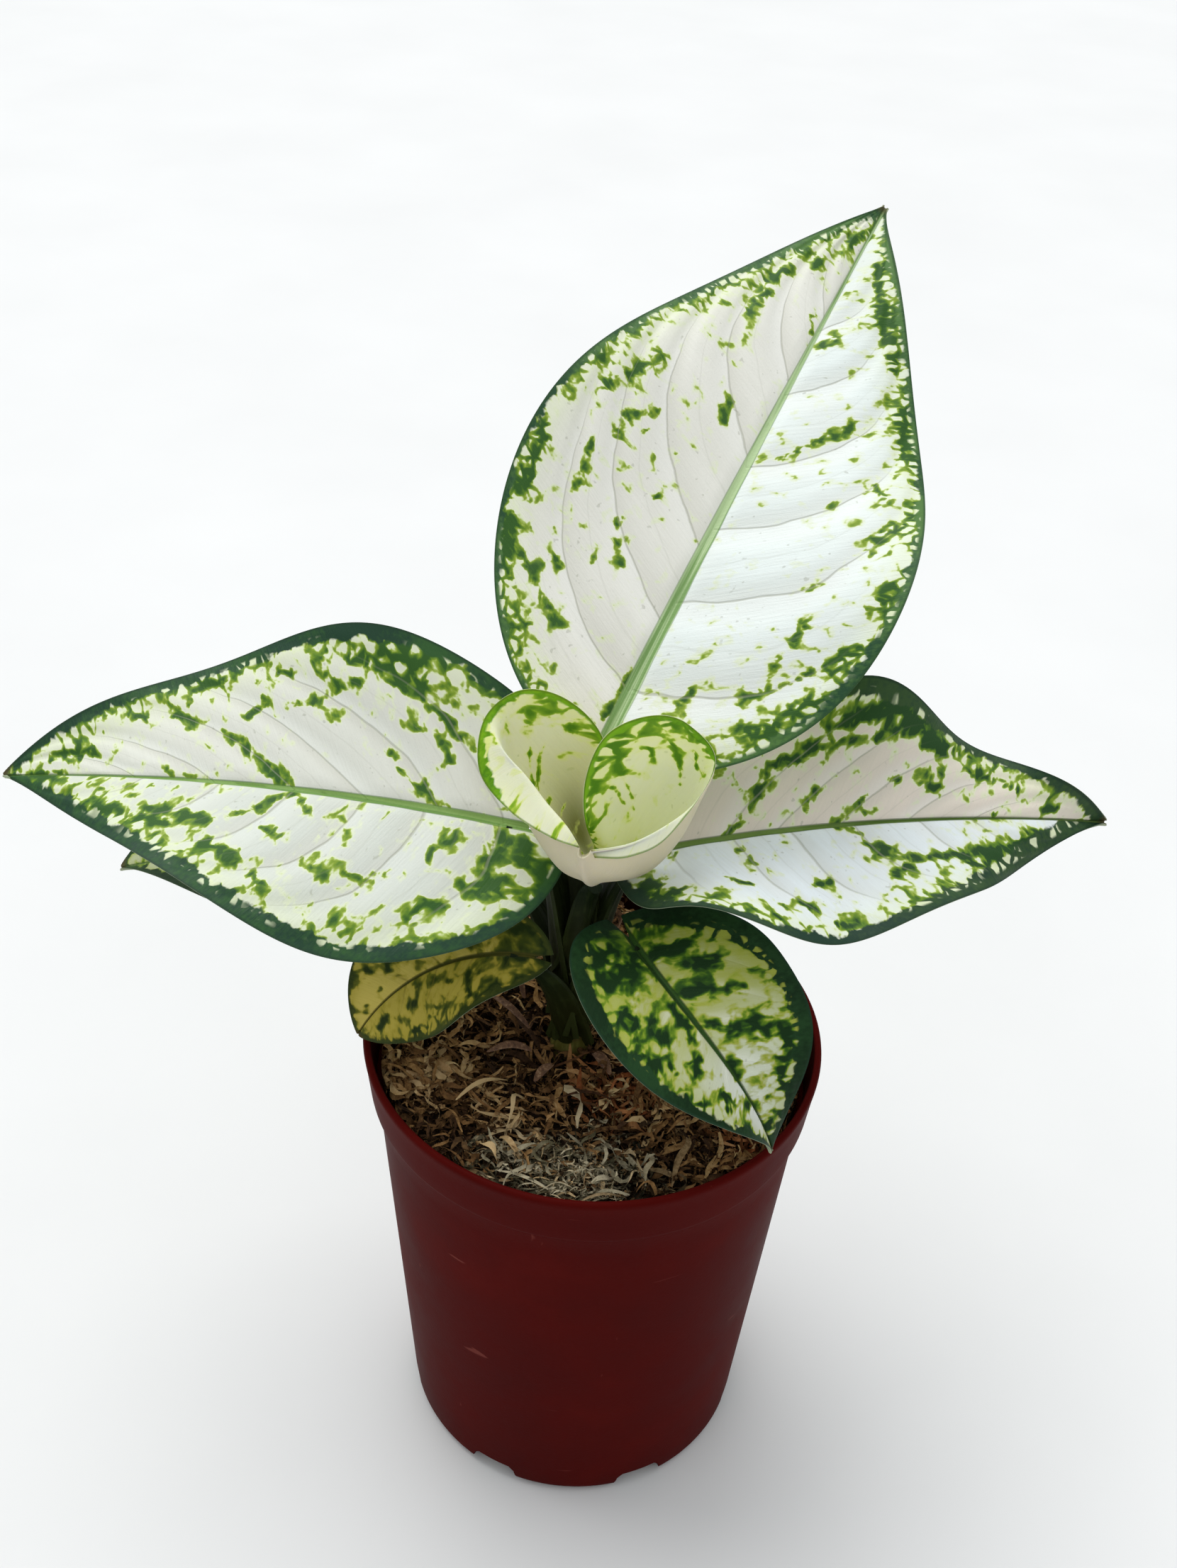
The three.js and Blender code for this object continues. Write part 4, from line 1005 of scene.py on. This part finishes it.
# ------------------------------------------------------------------ right leaf
# Its match on the right, held the same way. Dark green runs out along its side veins from a thin
# midrib, and its lower margin carries a deep blue-green band near the tip.
leaf_piece("leaf_right", {
    "base": (5, 7, 158.2), "heading": 84.5, "sweep": -10, "rise": 14.5, "droop": 27, "length": 105,
    "roll": -9.5, "twist": -34, "lobe": 4, "quilt": 0.55, "rib": (0.8, 0.12),
    "left": {"width": 30.5, "base_taper": 0.59, "tip_taper": 1.13, "fold": 11.5, "curl": 6.5,
             "wave": -7.5, "waves": 2.36, "phase": -0.49, "veins": (0.38, 0.0),
             "laterals": (0.07, 0.19, 0.30, 0.42, 0.56, 0.70), "band": (2.0, 3.2, 3.6, 2.4, 1.2)},
    "right": {"width": 30.2, "base_taper": 0.7, "tip_taper": 1.37, "fold": 13.5, "curl": 7, "swell": 0.8,
              "wave": 5.5, "waves": 2.18, "phase": -0.04, "veins": (0.12, 0.15),
              "laterals": (0.08, 0.21, 0.32, 0.45, 0.58, 0.70), "band": (2.4, 1.6, 2.2, 2.8, 3.6, 5.0, 1.6)},
    "flecks": (
        (0.19, -0.01, 0.22, -0.08, 1.4), (0.22, -0.08, 0.25, -0.22, 1.4), (0.25, -0.22, 0.30, -0.46, 2.2),
        (0.30, -0.46, 0.34, -0.55, 2.0), (0.275, -0.27, 0.285, -0.31, 1.4), (0.355, -0.52, 0.42, -0.60, 2.3),
        (0.42, -0.60, 0.52, -0.60, 1.5), (0.44, -0.70, 0.50, -0.76, 2.4), (0.50, -0.76, 0.545, -0.76, 2.4),
        (0.545, -0.72, 0.555, -0.66, 1.9), (0.55, -0.80, 0.60, -0.72, 2.9), (0.60, -0.72, 0.65, -0.66, 2.5),
        (0.42, -0.01, 0.46, -0.13, 1.6), (0.46, -0.13, 0.49, -0.20, 1.0), (0.54, -0.30, 0.55, -0.32, 1.2),
        (0.58, -0.33, 0.60, -0.37, 1.5), (0.59, -0.30, 0.62, -0.28, 1.9), (0.60, -0.37, 0.63, -0.42, 1.7),
        (0.37, -0.18, 0.395, -0.27, 1.5), (0.36, -0.10, 0.37, -0.15, 1.0), (0.475, -0.07, 0.505, -0.09, 1.1),
        (0.705, -0.52, 0.74, -0.56, 1.8), (0.76, -0.50, 0.80, -0.48, 1.5), (0.745, -0.04, 0.745, -0.05, 0.9),
        (0.85, -0.20, 0.88, -0.30, 1.3), (0.07, 0.02, 0.09, 0.10, 1.6), (0.05, 0.55, 0.07, 0.62, 1.7),
        (0.07, 0.80, 0.10, 0.78, 1.7), (0.215, 0.17, 0.235, 0.25, 1.5), (0.235, 0.25, 0.245, 0.36, 1.6),
        (0.305, 0.68, 0.335, 0.72, 2.3), (0.185, 0.52, 0.225, 0.56, 1.1), (0.26, 0.70, 0.27, 0.72, 1.0),
        (0.345, 0.53, 0.375, 0.50, 0.9), (0.47, 0.20, 0.49, 0.24, 1.4), (0.485, 0.24, 0.515, 0.34, 2.6),
        (0.52, 0.38, 0.57, 0.45, 1.7), (0.57, 0.45, 0.63, 0.46, 1.6), (0.63, 0.46, 0.70, 0.52, 1.9),
        (0.505, 0.52, 0.53, 0.50, 1.7), (0.70, 0.55, 0.76, 0.60, 2.5), (0.74, 0.70, 0.82, 0.60, 3.4),
        (0.43, 0.02, 0.46, 0.11, 1.4), (0.37, 0.84, 0.40, 0.84, 1.4), (0.66, 0.64, 0.72, 0.66, 1.4),
        (0.80, 0.35, 0.84, 0.40, 1.4), (0.90, 0.30, 0.93, 0.20, 1.2),
    ),
    "joint": {"angle": 5, "z": 117, "climb": 0.7, "reach": 6},
}, {
    **white_look, "seed": 43.0, "clear": 0.232, "rim_green": 0.31, "reach": 4.8, "solid": 1.5,
    "net": 0.26, "cells": (2.4, 3.6), "deep": srgb(40, 76, 34),
    "left_lit_ground": srgb(238, 226, 212), "right_lit_ground": srgb(238, 246, 250),
    "rib_colour": srgb(84, 112, 44), "rib_light": srgb(112, 140, 66), "rib_edge": srgb(52, 78, 34),
    "band_dark": srgb(34, 62, 46), "band_light": srgb(56, 84, 46), "edge": srgb(30, 56, 36),
})

# ------------------------------------------------------------------ low front leaf
# An older, smaller leaf that droops over the rim at the front right, on a short stalk low on the
# stem: broad dark green margins round a mottled yellow-green centre that turns white at the tip.
leaf_piece("leaf_front_low", {
    "base": (6, -7, 148.5), "heading": 157, "sweep": -58, "rise": 8, "droop": 83, "length": 58.5,
    "roll": -0.5, "twist": -14, "lobe": 7, "quilt": 0.35, "rib": (0.8, 0.12),
    "left": {"width": 23, "base_taper": 0.77, "tip_taper": 1, "fold": 16.5, "curl": 8.5,
             "wave": 1.7, "waves": 1.8, "phase": -0.06, "veins": (0.25, 0.20),
             "laterals": (0.06, 0.17, 0.30, 0.44, 0.60, 0.75), "band": (5.4, 5.2, 4.0, 3.4, 2.0)},
    "right": {"width": 19.6, "base_taper": 0.62, "tip_taper": 1.24, "fold": 6, "curl": 0.5,
              "wave": 1.4, "waves": 1.46, "phase": -0.09, "veins": (0.25, 0.20),
              "laterals": (0.08, 0.20, 0.33, 0.47, 0.61, 0.75), "band": (4.2, 3.8, 2.8, 1.6, 1.0)},
    "flecks": (
        (0.25, -0.33, 0.30, -0.50, 1.9), (0.33, -0.10, 0.37, -0.30, 1.5), (0.37, -0.30, 0.44, -0.52, 1.7),
        (0.47, -0.08, 0.52, -0.22, 1.6), (0.52, -0.22, 0.56, -0.42, 2.1), (0.56, -0.42, 0.60, -0.52, 2.8),
        (0.15, -0.10, 0.19, -0.40, 1.3), (0.12, 0.10, 0.17, 0.30, 2.2), (0.17, 0.30, 0.20, 0.62, 2.2),
        (0.10, 0.45, 0.13, 0.55, 2.0), (0.36, 0.42, 0.42, 0.45, 1.9), (0.30, 0.55, 0.34, 0.62, 1.8),
        (0.51, 0.28, 0.56, 0.45, 1.4), (0.52, 0.40, 0.53, 0.26, 1.1), (0.42, 0.08, 0.48, 0.20, 1.6),
        (0.61, -0.05, 0.66, -0.02, 1.5), (0.68, 0.42, 0.71, 0.38, 1.7), (0.61, 0.72, 0.65, 0.75, 1.4),
        (0.77, 0.14, 0.77, 0.16, 1.2), (0.50, 0.60, 0.51, 0.62, 1.0), (0.46, 0.70, 0.47, 0.72, 1.4),
        (0.72, -0.55, 0.80, -0.55, 1.6), (0.66, -0.70, 0.70, -0.66, 1.6), (0.88, -0.20, 0.90, -0.10, 1.0),
        (0.34, 0.10, 0.40, 0.12, 1.2), (0.70, 0.60, 0.72, 0.55, 1.0),
    ),
    "joint": {"angle": -50, "z": 114, "climb": 0.7, "reach": 5},
}, {
    **white_look, "seed": 65.0, "clear": 0.21, "rim_green": 0.24, "reach": 5.0, "patchy": 0.4,
    "ragged": 5.0, "solid": 2.4, "shine": 0.08, "vein_show": 0.0,
    # Its base is made greener and darker, partly its own dark green and partly painted shade under the leaves
    # above.
    "base_green_and_shade": 0.19, "base_tint": 1.0, "tint_span": (0.35, 0.78), "tint_show": 1.0,
    "left_lit_ground": srgb(212, 220, 202), "right_lit_ground": srgb(216, 220, 214), "tint": srgb(158, 166, 68),
    "halo": srgb(140, 158, 52), "bright": srgb(96, 128, 30), "middle": srgb(50, 84, 25),
    "deep": srgb(24, 50, 22),
    "rib_colour": srgb(34, 58, 24), "rib_light": srgb(48, 78, 30), "rib_edge": srgb(28, 50, 24),
    "band_dark": srgb(20, 44, 22), "band_light": srgb(34, 64, 34), "edge": srgb(30, 56, 38),
})

# ------------------------------------------------------------------ low left leaf
# The oldest leaf, short and blunt, gone olive in the shade, with dark green flecks. It grows lowest
# of all on the stem and hangs over the moss at the front left.
leaf_piece("leaf_left_low", {
    "base": (-13, -7.5, 141.5), "heading": -82, "sweep": -33, "rise": 1, "droop": 62, "length": 45.5,
    "roll": 18.5, "twist": 8, "lobe": 4, "quilt": 0.25, "rib": (0.5, 0.1),
    "left": {"width": 14.1, "base_taper": 0.67, "tip_taper": 0.67, "fold": 3, "curl": -1.5,
             "wave": 0.9, "waves": 1.43, "phase": -0.16, "veins": (0.20, 0.20),
             "laterals": (0.10, 0.28, 0.46, 0.64), "band": (1.0, 1.6, 1.4, 1.2, 1.0)},
    "right": {"width": 14.7, "base_taper": 0.7, "tip_taper": 0.81, "fold": 9, "curl": 8,
              "wave": 1.1, "waves": 1.63, "phase": 0.03, "veins": (0.20, 0.20),
              "laterals": (0.08, 0.26, 0.44, 0.62), "band": (1.0, 0.7, 0.5, 0.5, 0.6)},
    "flecks": (
        (0.57, -0.17, 0.63, -0.38, 1.0), (0.63, -0.34, 0.67, -0.40, 1.0), (0.60, -0.10, 0.59, -0.16, 0.9),
        (0.50, -0.60, 0.51, -0.62, 0.9), (0.315, -0.30, 0.31, -0.70, 1.1), (0.76, 0.25, 0.74, 0.22, 1.0),
        (0.68, 0.36, 0.67, 0.46, 1.1), (0.80, -0.30, 0.87, -0.42, 0.9), (0.88, 0.20, 0.86, 0.26, 0.8),
        (0.74, 0.62, 0.75, 0.66, 0.9), (0.66, -0.78, 0.70, -0.80, 0.9), (0.40, -0.34, 0.42, -0.30, 0.8),
    ),
    "joint": {"angle": 237, "z": 112, "climb": 0.6, "reach": 5},
}, {
    **white_look, "seed": 87.0, "clear": 0.19, "rim_green": 0.14, "reach": 3.0, "patchy": 0.5,
    # Its base is made dark green as painted shade, where it lies deep under the leaves.
    "ragged": 4.0, "base_green_and_shade": 0.26, "shine": 0.08,
    "left_lit_ground": srgb(190, 172, 74), "right_lit_ground": srgb(202, 184, 92), "tint": srgb(162, 148, 50),
    "shade": srgb(152, 138, 62), "crest_highlight": srgb(196, 176, 84), "vein": srgb(120, 110, 44),
    "halo": srgb(136, 130, 46), "bright": srgb(104, 106, 34), "middle": srgb(68, 78, 26),
    "deep": srgb(38, 52, 20), "band_dark": srgb(40, 54, 22), "band_light": srgb(68, 76, 30),
    "edge": srgb(50, 62, 28), "rib_colour": srgb(70, 70, 26), "rib_light": srgb(90, 86, 34),
    "rib_edge": srgb(54, 58, 22),
})

# ------------------------------------------------------------------ leaf under the left leaf
# A leaf in the shade of the left one, on its own stalk from the back of the stem. Only its edges and
# its tip show from the front.
leaf_piece("leaf_left_under", {
    "base": (-22, 13, 150), "heading": -83, "sweep": -2, "rise": 0, "droop": 22, "length": 88,
    "roll": 14, "twist": 0, "lobe": 2, "quilt": 0.4, "rib": (0.8, 0.12),
    "left": {"width": 25, "base_taper": 0.65, "tip_taper": 1.28, "fold": 9, "curl": 2,
             "wave": 0.9, "waves": 1.4, "phase": -0.11, "veins": (0.20, 0.25),
             "laterals": (0.08, 0.20, 0.33, 0.47, 0.62, 0.76), "band": (3.0, 3.4, 3.0, 2.0, 1.2)},
    "right": {"width": 25, "base_taper": 0.63, "tip_taper": 0.81, "fold": 10, "curl": 3.5,
              "wave": 0.6, "waves": 1.46, "phase": -0.02, "veins": (0.20, 0.25),
              "laterals": (0.08, 0.20, 0.33, 0.47, 0.62, 0.76), "band": (3.0, 3.0, 2.6, 2.0, 1.2)},
    "flecks": ((0.2, 0.05, 0.26, 0.3, 1.8), (0.33, -0.04, 0.40, -0.35, 1.8), (0.6, 0.1, 0.66, 0.4, 1.6)),
    "joint": {"angle": 125, "z": 115, "climb": 0.6, "reach": 10},
}, {
    **white_look, "seed": 109.0, "clear": 0.16, "base_tint": 0.5,
    "left_lit_ground": srgb(204, 210, 172), "right_lit_ground": srgb(208, 214, 176), "tint": srgb(180, 190, 104),
    "band_dark": srgb(34, 62, 34), "band_light": srgb(60, 92, 42), "edge": srgb(40, 66, 36),
})

# ------------------------------------------------------------------ unfurling leaf
# The newest leaf, a scroll that stands on the top of the stem: a cup of two lobes, the left one laid
# open with a flared lip, the right one rolled like a funnel. Cream inside, pinkish cream outside.
YOUNG_LENGTH = 46
YOUNG_STALK = 2.7


def spline(knots, s):
    """A smooth curve through equally spaced knots, at places s from 0 to 1."""
    knots = np.asarray(knots, float)
    x = np.clip(s, 0, 1) * (len(knots) - 1)
    i = np.minimum(x.astype(int), len(knots) - 2)
    f = (x - i)[:, None]
    ends = np.concatenate([[2 * knots[0] - knots[1]], knots, [2 * knots[-1] - knots[-2]]])
    ends = ends.reshape(len(ends), -1)
    a, b, c, d = ends[i], ends[i + 1], ends[i + 2], ends[i + 3]
    out = b + 0.5 * ((c - a) * f + (2 * a - 5 * b + 4 * c - d) * f**2 + (3 * b - a - 3 * c + d) * f**3)
    return out.reshape((len(f),) + knots.shape[1:])


# The keel, and then each lobe's cross-sections from base to tip, each from beside the keel to the margin.
KEEL = [(-1, 3, 157), (-1, 2.4, 157.2), (-1, 1, 157.6), (-1.1, -0.5, 158.2), (-1.3, -2.5, 159),
        (-1.7, -4.5, 160), (-2.2, -6.6, 161.6), (-2.8, -9, 164), (-3.5, -11.6, 168), (-4.2, -14, 175)]
OPEN_LOBE = [
    [(-1.6, 3.6, 157), (-2, 3.8, 157), (-2.2, 4, 157), (-2.4, 4.2, 157)],
    [(-3.5, 3.6, 159.5), (-4.5, 5, 163.5), (-2.8, 5.6, 168), (1.2, 5.2, 172)],
    [(-5.5, 2.8, 161), (-8.5, 5.5, 167.5), (-7, 7.3, 177.5), (-1.5, 6.5, 187.5)],
    [(-7.5, 1, 162), (-12.5, 5, 170), (-14, 7.5, 182.5), (-9, 8.5, 195)],
    [(-8.8, -1, 163), (-15.5, 3, 171.5), (-19.5, 6, 184), (-18, 8, 197)],
    [(-9.5, -3.5, 164), (-16, -0.8, 173), (-20.4, -0.2, 187.5), (-24.8, 4, 192.7)],
    [(-8.5, -6, 164.5), (-13.4, -4.6, 173.5), (-16.4, -3.6, 185.4), (-25.3, -2, 184.3)],
    [(-7, -8.6, 167), (-10.4, -7.8, 173.5), (-12, -7, 181.6), (-18.9, -8.6, 180)],
    [(-5.3, -11.4, 169.5), (-6.6, -11, 173.5), (-7.5, -10.6, 178.6), (-10.6, -12.4, 177)],
    [(-4.2, -14.1, 175.2), (-4.3, -14.1, 175.5), (-4.4, -14.1, 175.8), (-4.5, -14, 176)],
]
ROLLED_LOBE = [
    [(-0.5, 3.2, 157), (0, 3.3, 157), (0.5, 3.4, 157), (1, 3.5, 157)],
    [(1.5, 1, 159.5), (2.5, -2, 164.5), (0, -5.5, 170.5), (-3.8, -8, 177)],
    [(3, 0.8, 161), (4.8, -0.5, 169), (1, -2.8, 180), (-4.3, -4.5, 186.5)],
    [(5, 0, 162), (8.5, 1, 170), (6, 1, 183), (-0.5, -1.2, 194.5)],
    [(7, -1.2, 163), (12, 1, 170.5), (12, 3, 184), (7.8, 2, 197)],
    [(8, -3, 163.3), (14.5, -0.5, 171.5), (17.2, 1.6, 184), (15, 2.3, 195)],
    [(8, -5.6, 164), (14.2, -4.2, 171.5), (18, -2.6, 181), (20.4, -1.8, 188.8)],
    [(6, -8.8, 166.2), (10.8, -8, 172.3), (12.4, -8, 178.9), (12.6, -9.6, 177.2)],
    [(1.5, -12.2, 169.5), (4.2, -12.3, 172.7), (5, -12, 176.5), (5.2, -13.4, 174.2)],
    [(-4, -14.2, 175.2), (-3.7, -14.4, 175.5), (-3.2, -14.4, 175.9), (-2.4, -15, 174.6)],
]


def lobe_surface(sections, t, u):
    """Points of one lobe: rows from its base to its tip, columns from the keel to its margin."""
    lines = spline([[keel] + section for keel, section in zip(KEEL, sections)], t)
    return np.stack([spline(line, u) for line in lines])


scroll = Heap()
young_t, young_u = np.linspace(0.01, 0.99, 140), np.linspace(0, 1, 64)
open_half = lobe_surface(OPEN_LOBE, young_t, young_u)
rolled_half = lobe_surface(ROLLED_LOBE, young_t, young_u)
young = np.concatenate([rolled_half[:, ::-1], open_half[:, 1:]], axis=1)
young_t, young_v = np.meshgrid(young_t, np.concatenate([-young_u[::-1], young_u[1:]]), indexing="ij")
young_run = np.cumsum(np.linalg.norm(np.diff(young, axis=1), axis=-1), 1)
young_run = np.concatenate([np.zeros((len(young), 1)), young_run], 1)
young_along, young_across = young_t * YOUNG_LENGTH, young_run - young_run[:, len(young_u) - 1 : len(young_u)]
young_rim = np.where(young_v < 0, young_run, young_run[:, -1:] - young_run)


def down_lobes(rolled_lobe, open_lobe):
    """A value that changes down each lobe, from places along it and the values there."""
    return np.where(young_v < 0, np.interp(young_t, *rolled_lobe), np.interp(young_t, *open_lobe))


young_band = down_lobes(
    ((0, 0.1, 0.3, 0.5, 0.62, 0.68, 0.72, 1), (0.9, 1.1, 1.5, 1.8, 1.9, 0.8, -1.0, -1.2)),
    ((0, 0.2, 0.35, 0.5, 0.62, 0.72, 0.79, 1), (0.8, 0.9, 1.1, 1.8, 2.6, 2.2, -1.0, -1.2)),
)
# The green keeps off the lips by a distance added to the margin's, and painted shade lies along the keel and
# in the throat.
young_lip = down_lobes(((0.62, 0.72), (0, 14)), ((0.48, 0.58, 0.76, 0.83), (3.2, 6, 6, 14)))
young_keel_shade = 0.85 * np.clip(1 - np.abs(young_across) / 12, 0, 1) ** 1.5
young_throat_shade = 0.9 * np.exp(-(((young_t - 0.14) / 0.13) ** 2) - ((young_v - 0.5) / 0.28) ** 2)
young_thick = 0.14 + 0.3 * np.clip(young_rim / 1.5, 0, 1)
young_thick = young_thick + 0.5 * np.exp(-((young_across / 1.2) ** 2))
young_flecks = (
    (0.33, 0.80, 0.34, 0.58, 0.5), (0.37, 0.76, 0.36, 0.60, 0.4), (0.41, 0.90, 0.40, 0.86, 1.2),
    (0.30, 0.92, 0.29, 0.90, 0.8), (0.30, 0.55, 0.33, 0.42, 1.0), (0.22, 0.60, 0.25, 0.46, 0.7),
    (0.335, -0.96, 0.29, -0.83, 0.8), (0.29, -0.83, 0.28, -0.62, 0.5), (0.40, -0.85, 0.395, -0.77, 0.5),
    (0.465, -0.86, 0.48, -0.78, 0.8), (0.48, -0.78, 0.485, -0.69, 0.5), (0.555, -0.84, 0.55, -0.77, 0.6),
    (0.33, -0.88, 0.38, -0.86, 0.6), (0.24, -0.80, 0.25, -0.66, 0.5),
)
shell(scroll, young, young_thick, {
    "along_mm": young_along, "across_mm": young_across, "rim_mm": young_rim, "turn": 0.5 + 0 * young_t,
    "rim_far": young_rim + young_lip, "hollow": np.maximum(young_keel_shade, young_throat_shade),
    "band_mm": young_rim - young_band,
    "paint": fleck_paint(young_flecks, young_t, young_v, young_along, young_across),
})
grow_stalk(scroll, (*STEM_AXIS, STEM_TOP), (-1.2, 1, 157.6), towards(180, 20), 0.5, 6, YOUNG_STALK)
young_skin = LeafSkin("young_skin", {
    "length": YOUNG_LENGTH, "rib": (0.2, 0.2), "left": {"laterals": (0, 1)},
}, {
    **white_look, "seed": 131.0, "clear": 0.262, "rim_green": 0.31, "reach": 5.4, "patchy": 0.3,
    "net": 0.40, "cells": (2.3, 3.2), "ragged": 3.0, "solid": 0.9, "islands": 0.26,
    "shine": 0.15, "glow": 0.5, "vein_show": 0.0, "under_show": 1.0,
    # Its ground is painted very pale, partly its own cream and partly painted light for the light that shines
    # through the thin young leaf.
    "left_lit_ground": srgb(246, 249, 212), "right_lit_ground": srgb(246, 247, 214), "tint": srgb(230, 240, 150),
    "shade": srgb(224, 228, 176), "crest_highlight": srgb(246, 250, 220), "keel": srgb(112, 118, 40),
    "halo": srgb(200, 218, 92), "bright": srgb(146, 182, 44), "middle": srgb(112, 158, 32),
    "deep": srgb(84, 136, 20), "band_dark": srgb(74, 132, 12), "band_light": srgb(122, 174, 24),
    "edge": srgb(70, 112, 24), "vein": srgb(190, 200, 130), "rib_colour": srgb(200, 206, 150),
    "rib_light": srgb(206, 210, 160), "rib_edge": srgb(190, 198, 136), "under": srgb(220, 210, 186),
})
young_leaf = scroll.piece("leaf_unfurling_grown", [young_skin.finished(), stalk_finish.material])
young_leaf.data.set_sharp_from_angle(angle=math.radians(55))
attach(young_leaf, "root")
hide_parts("leaf_unfurling")
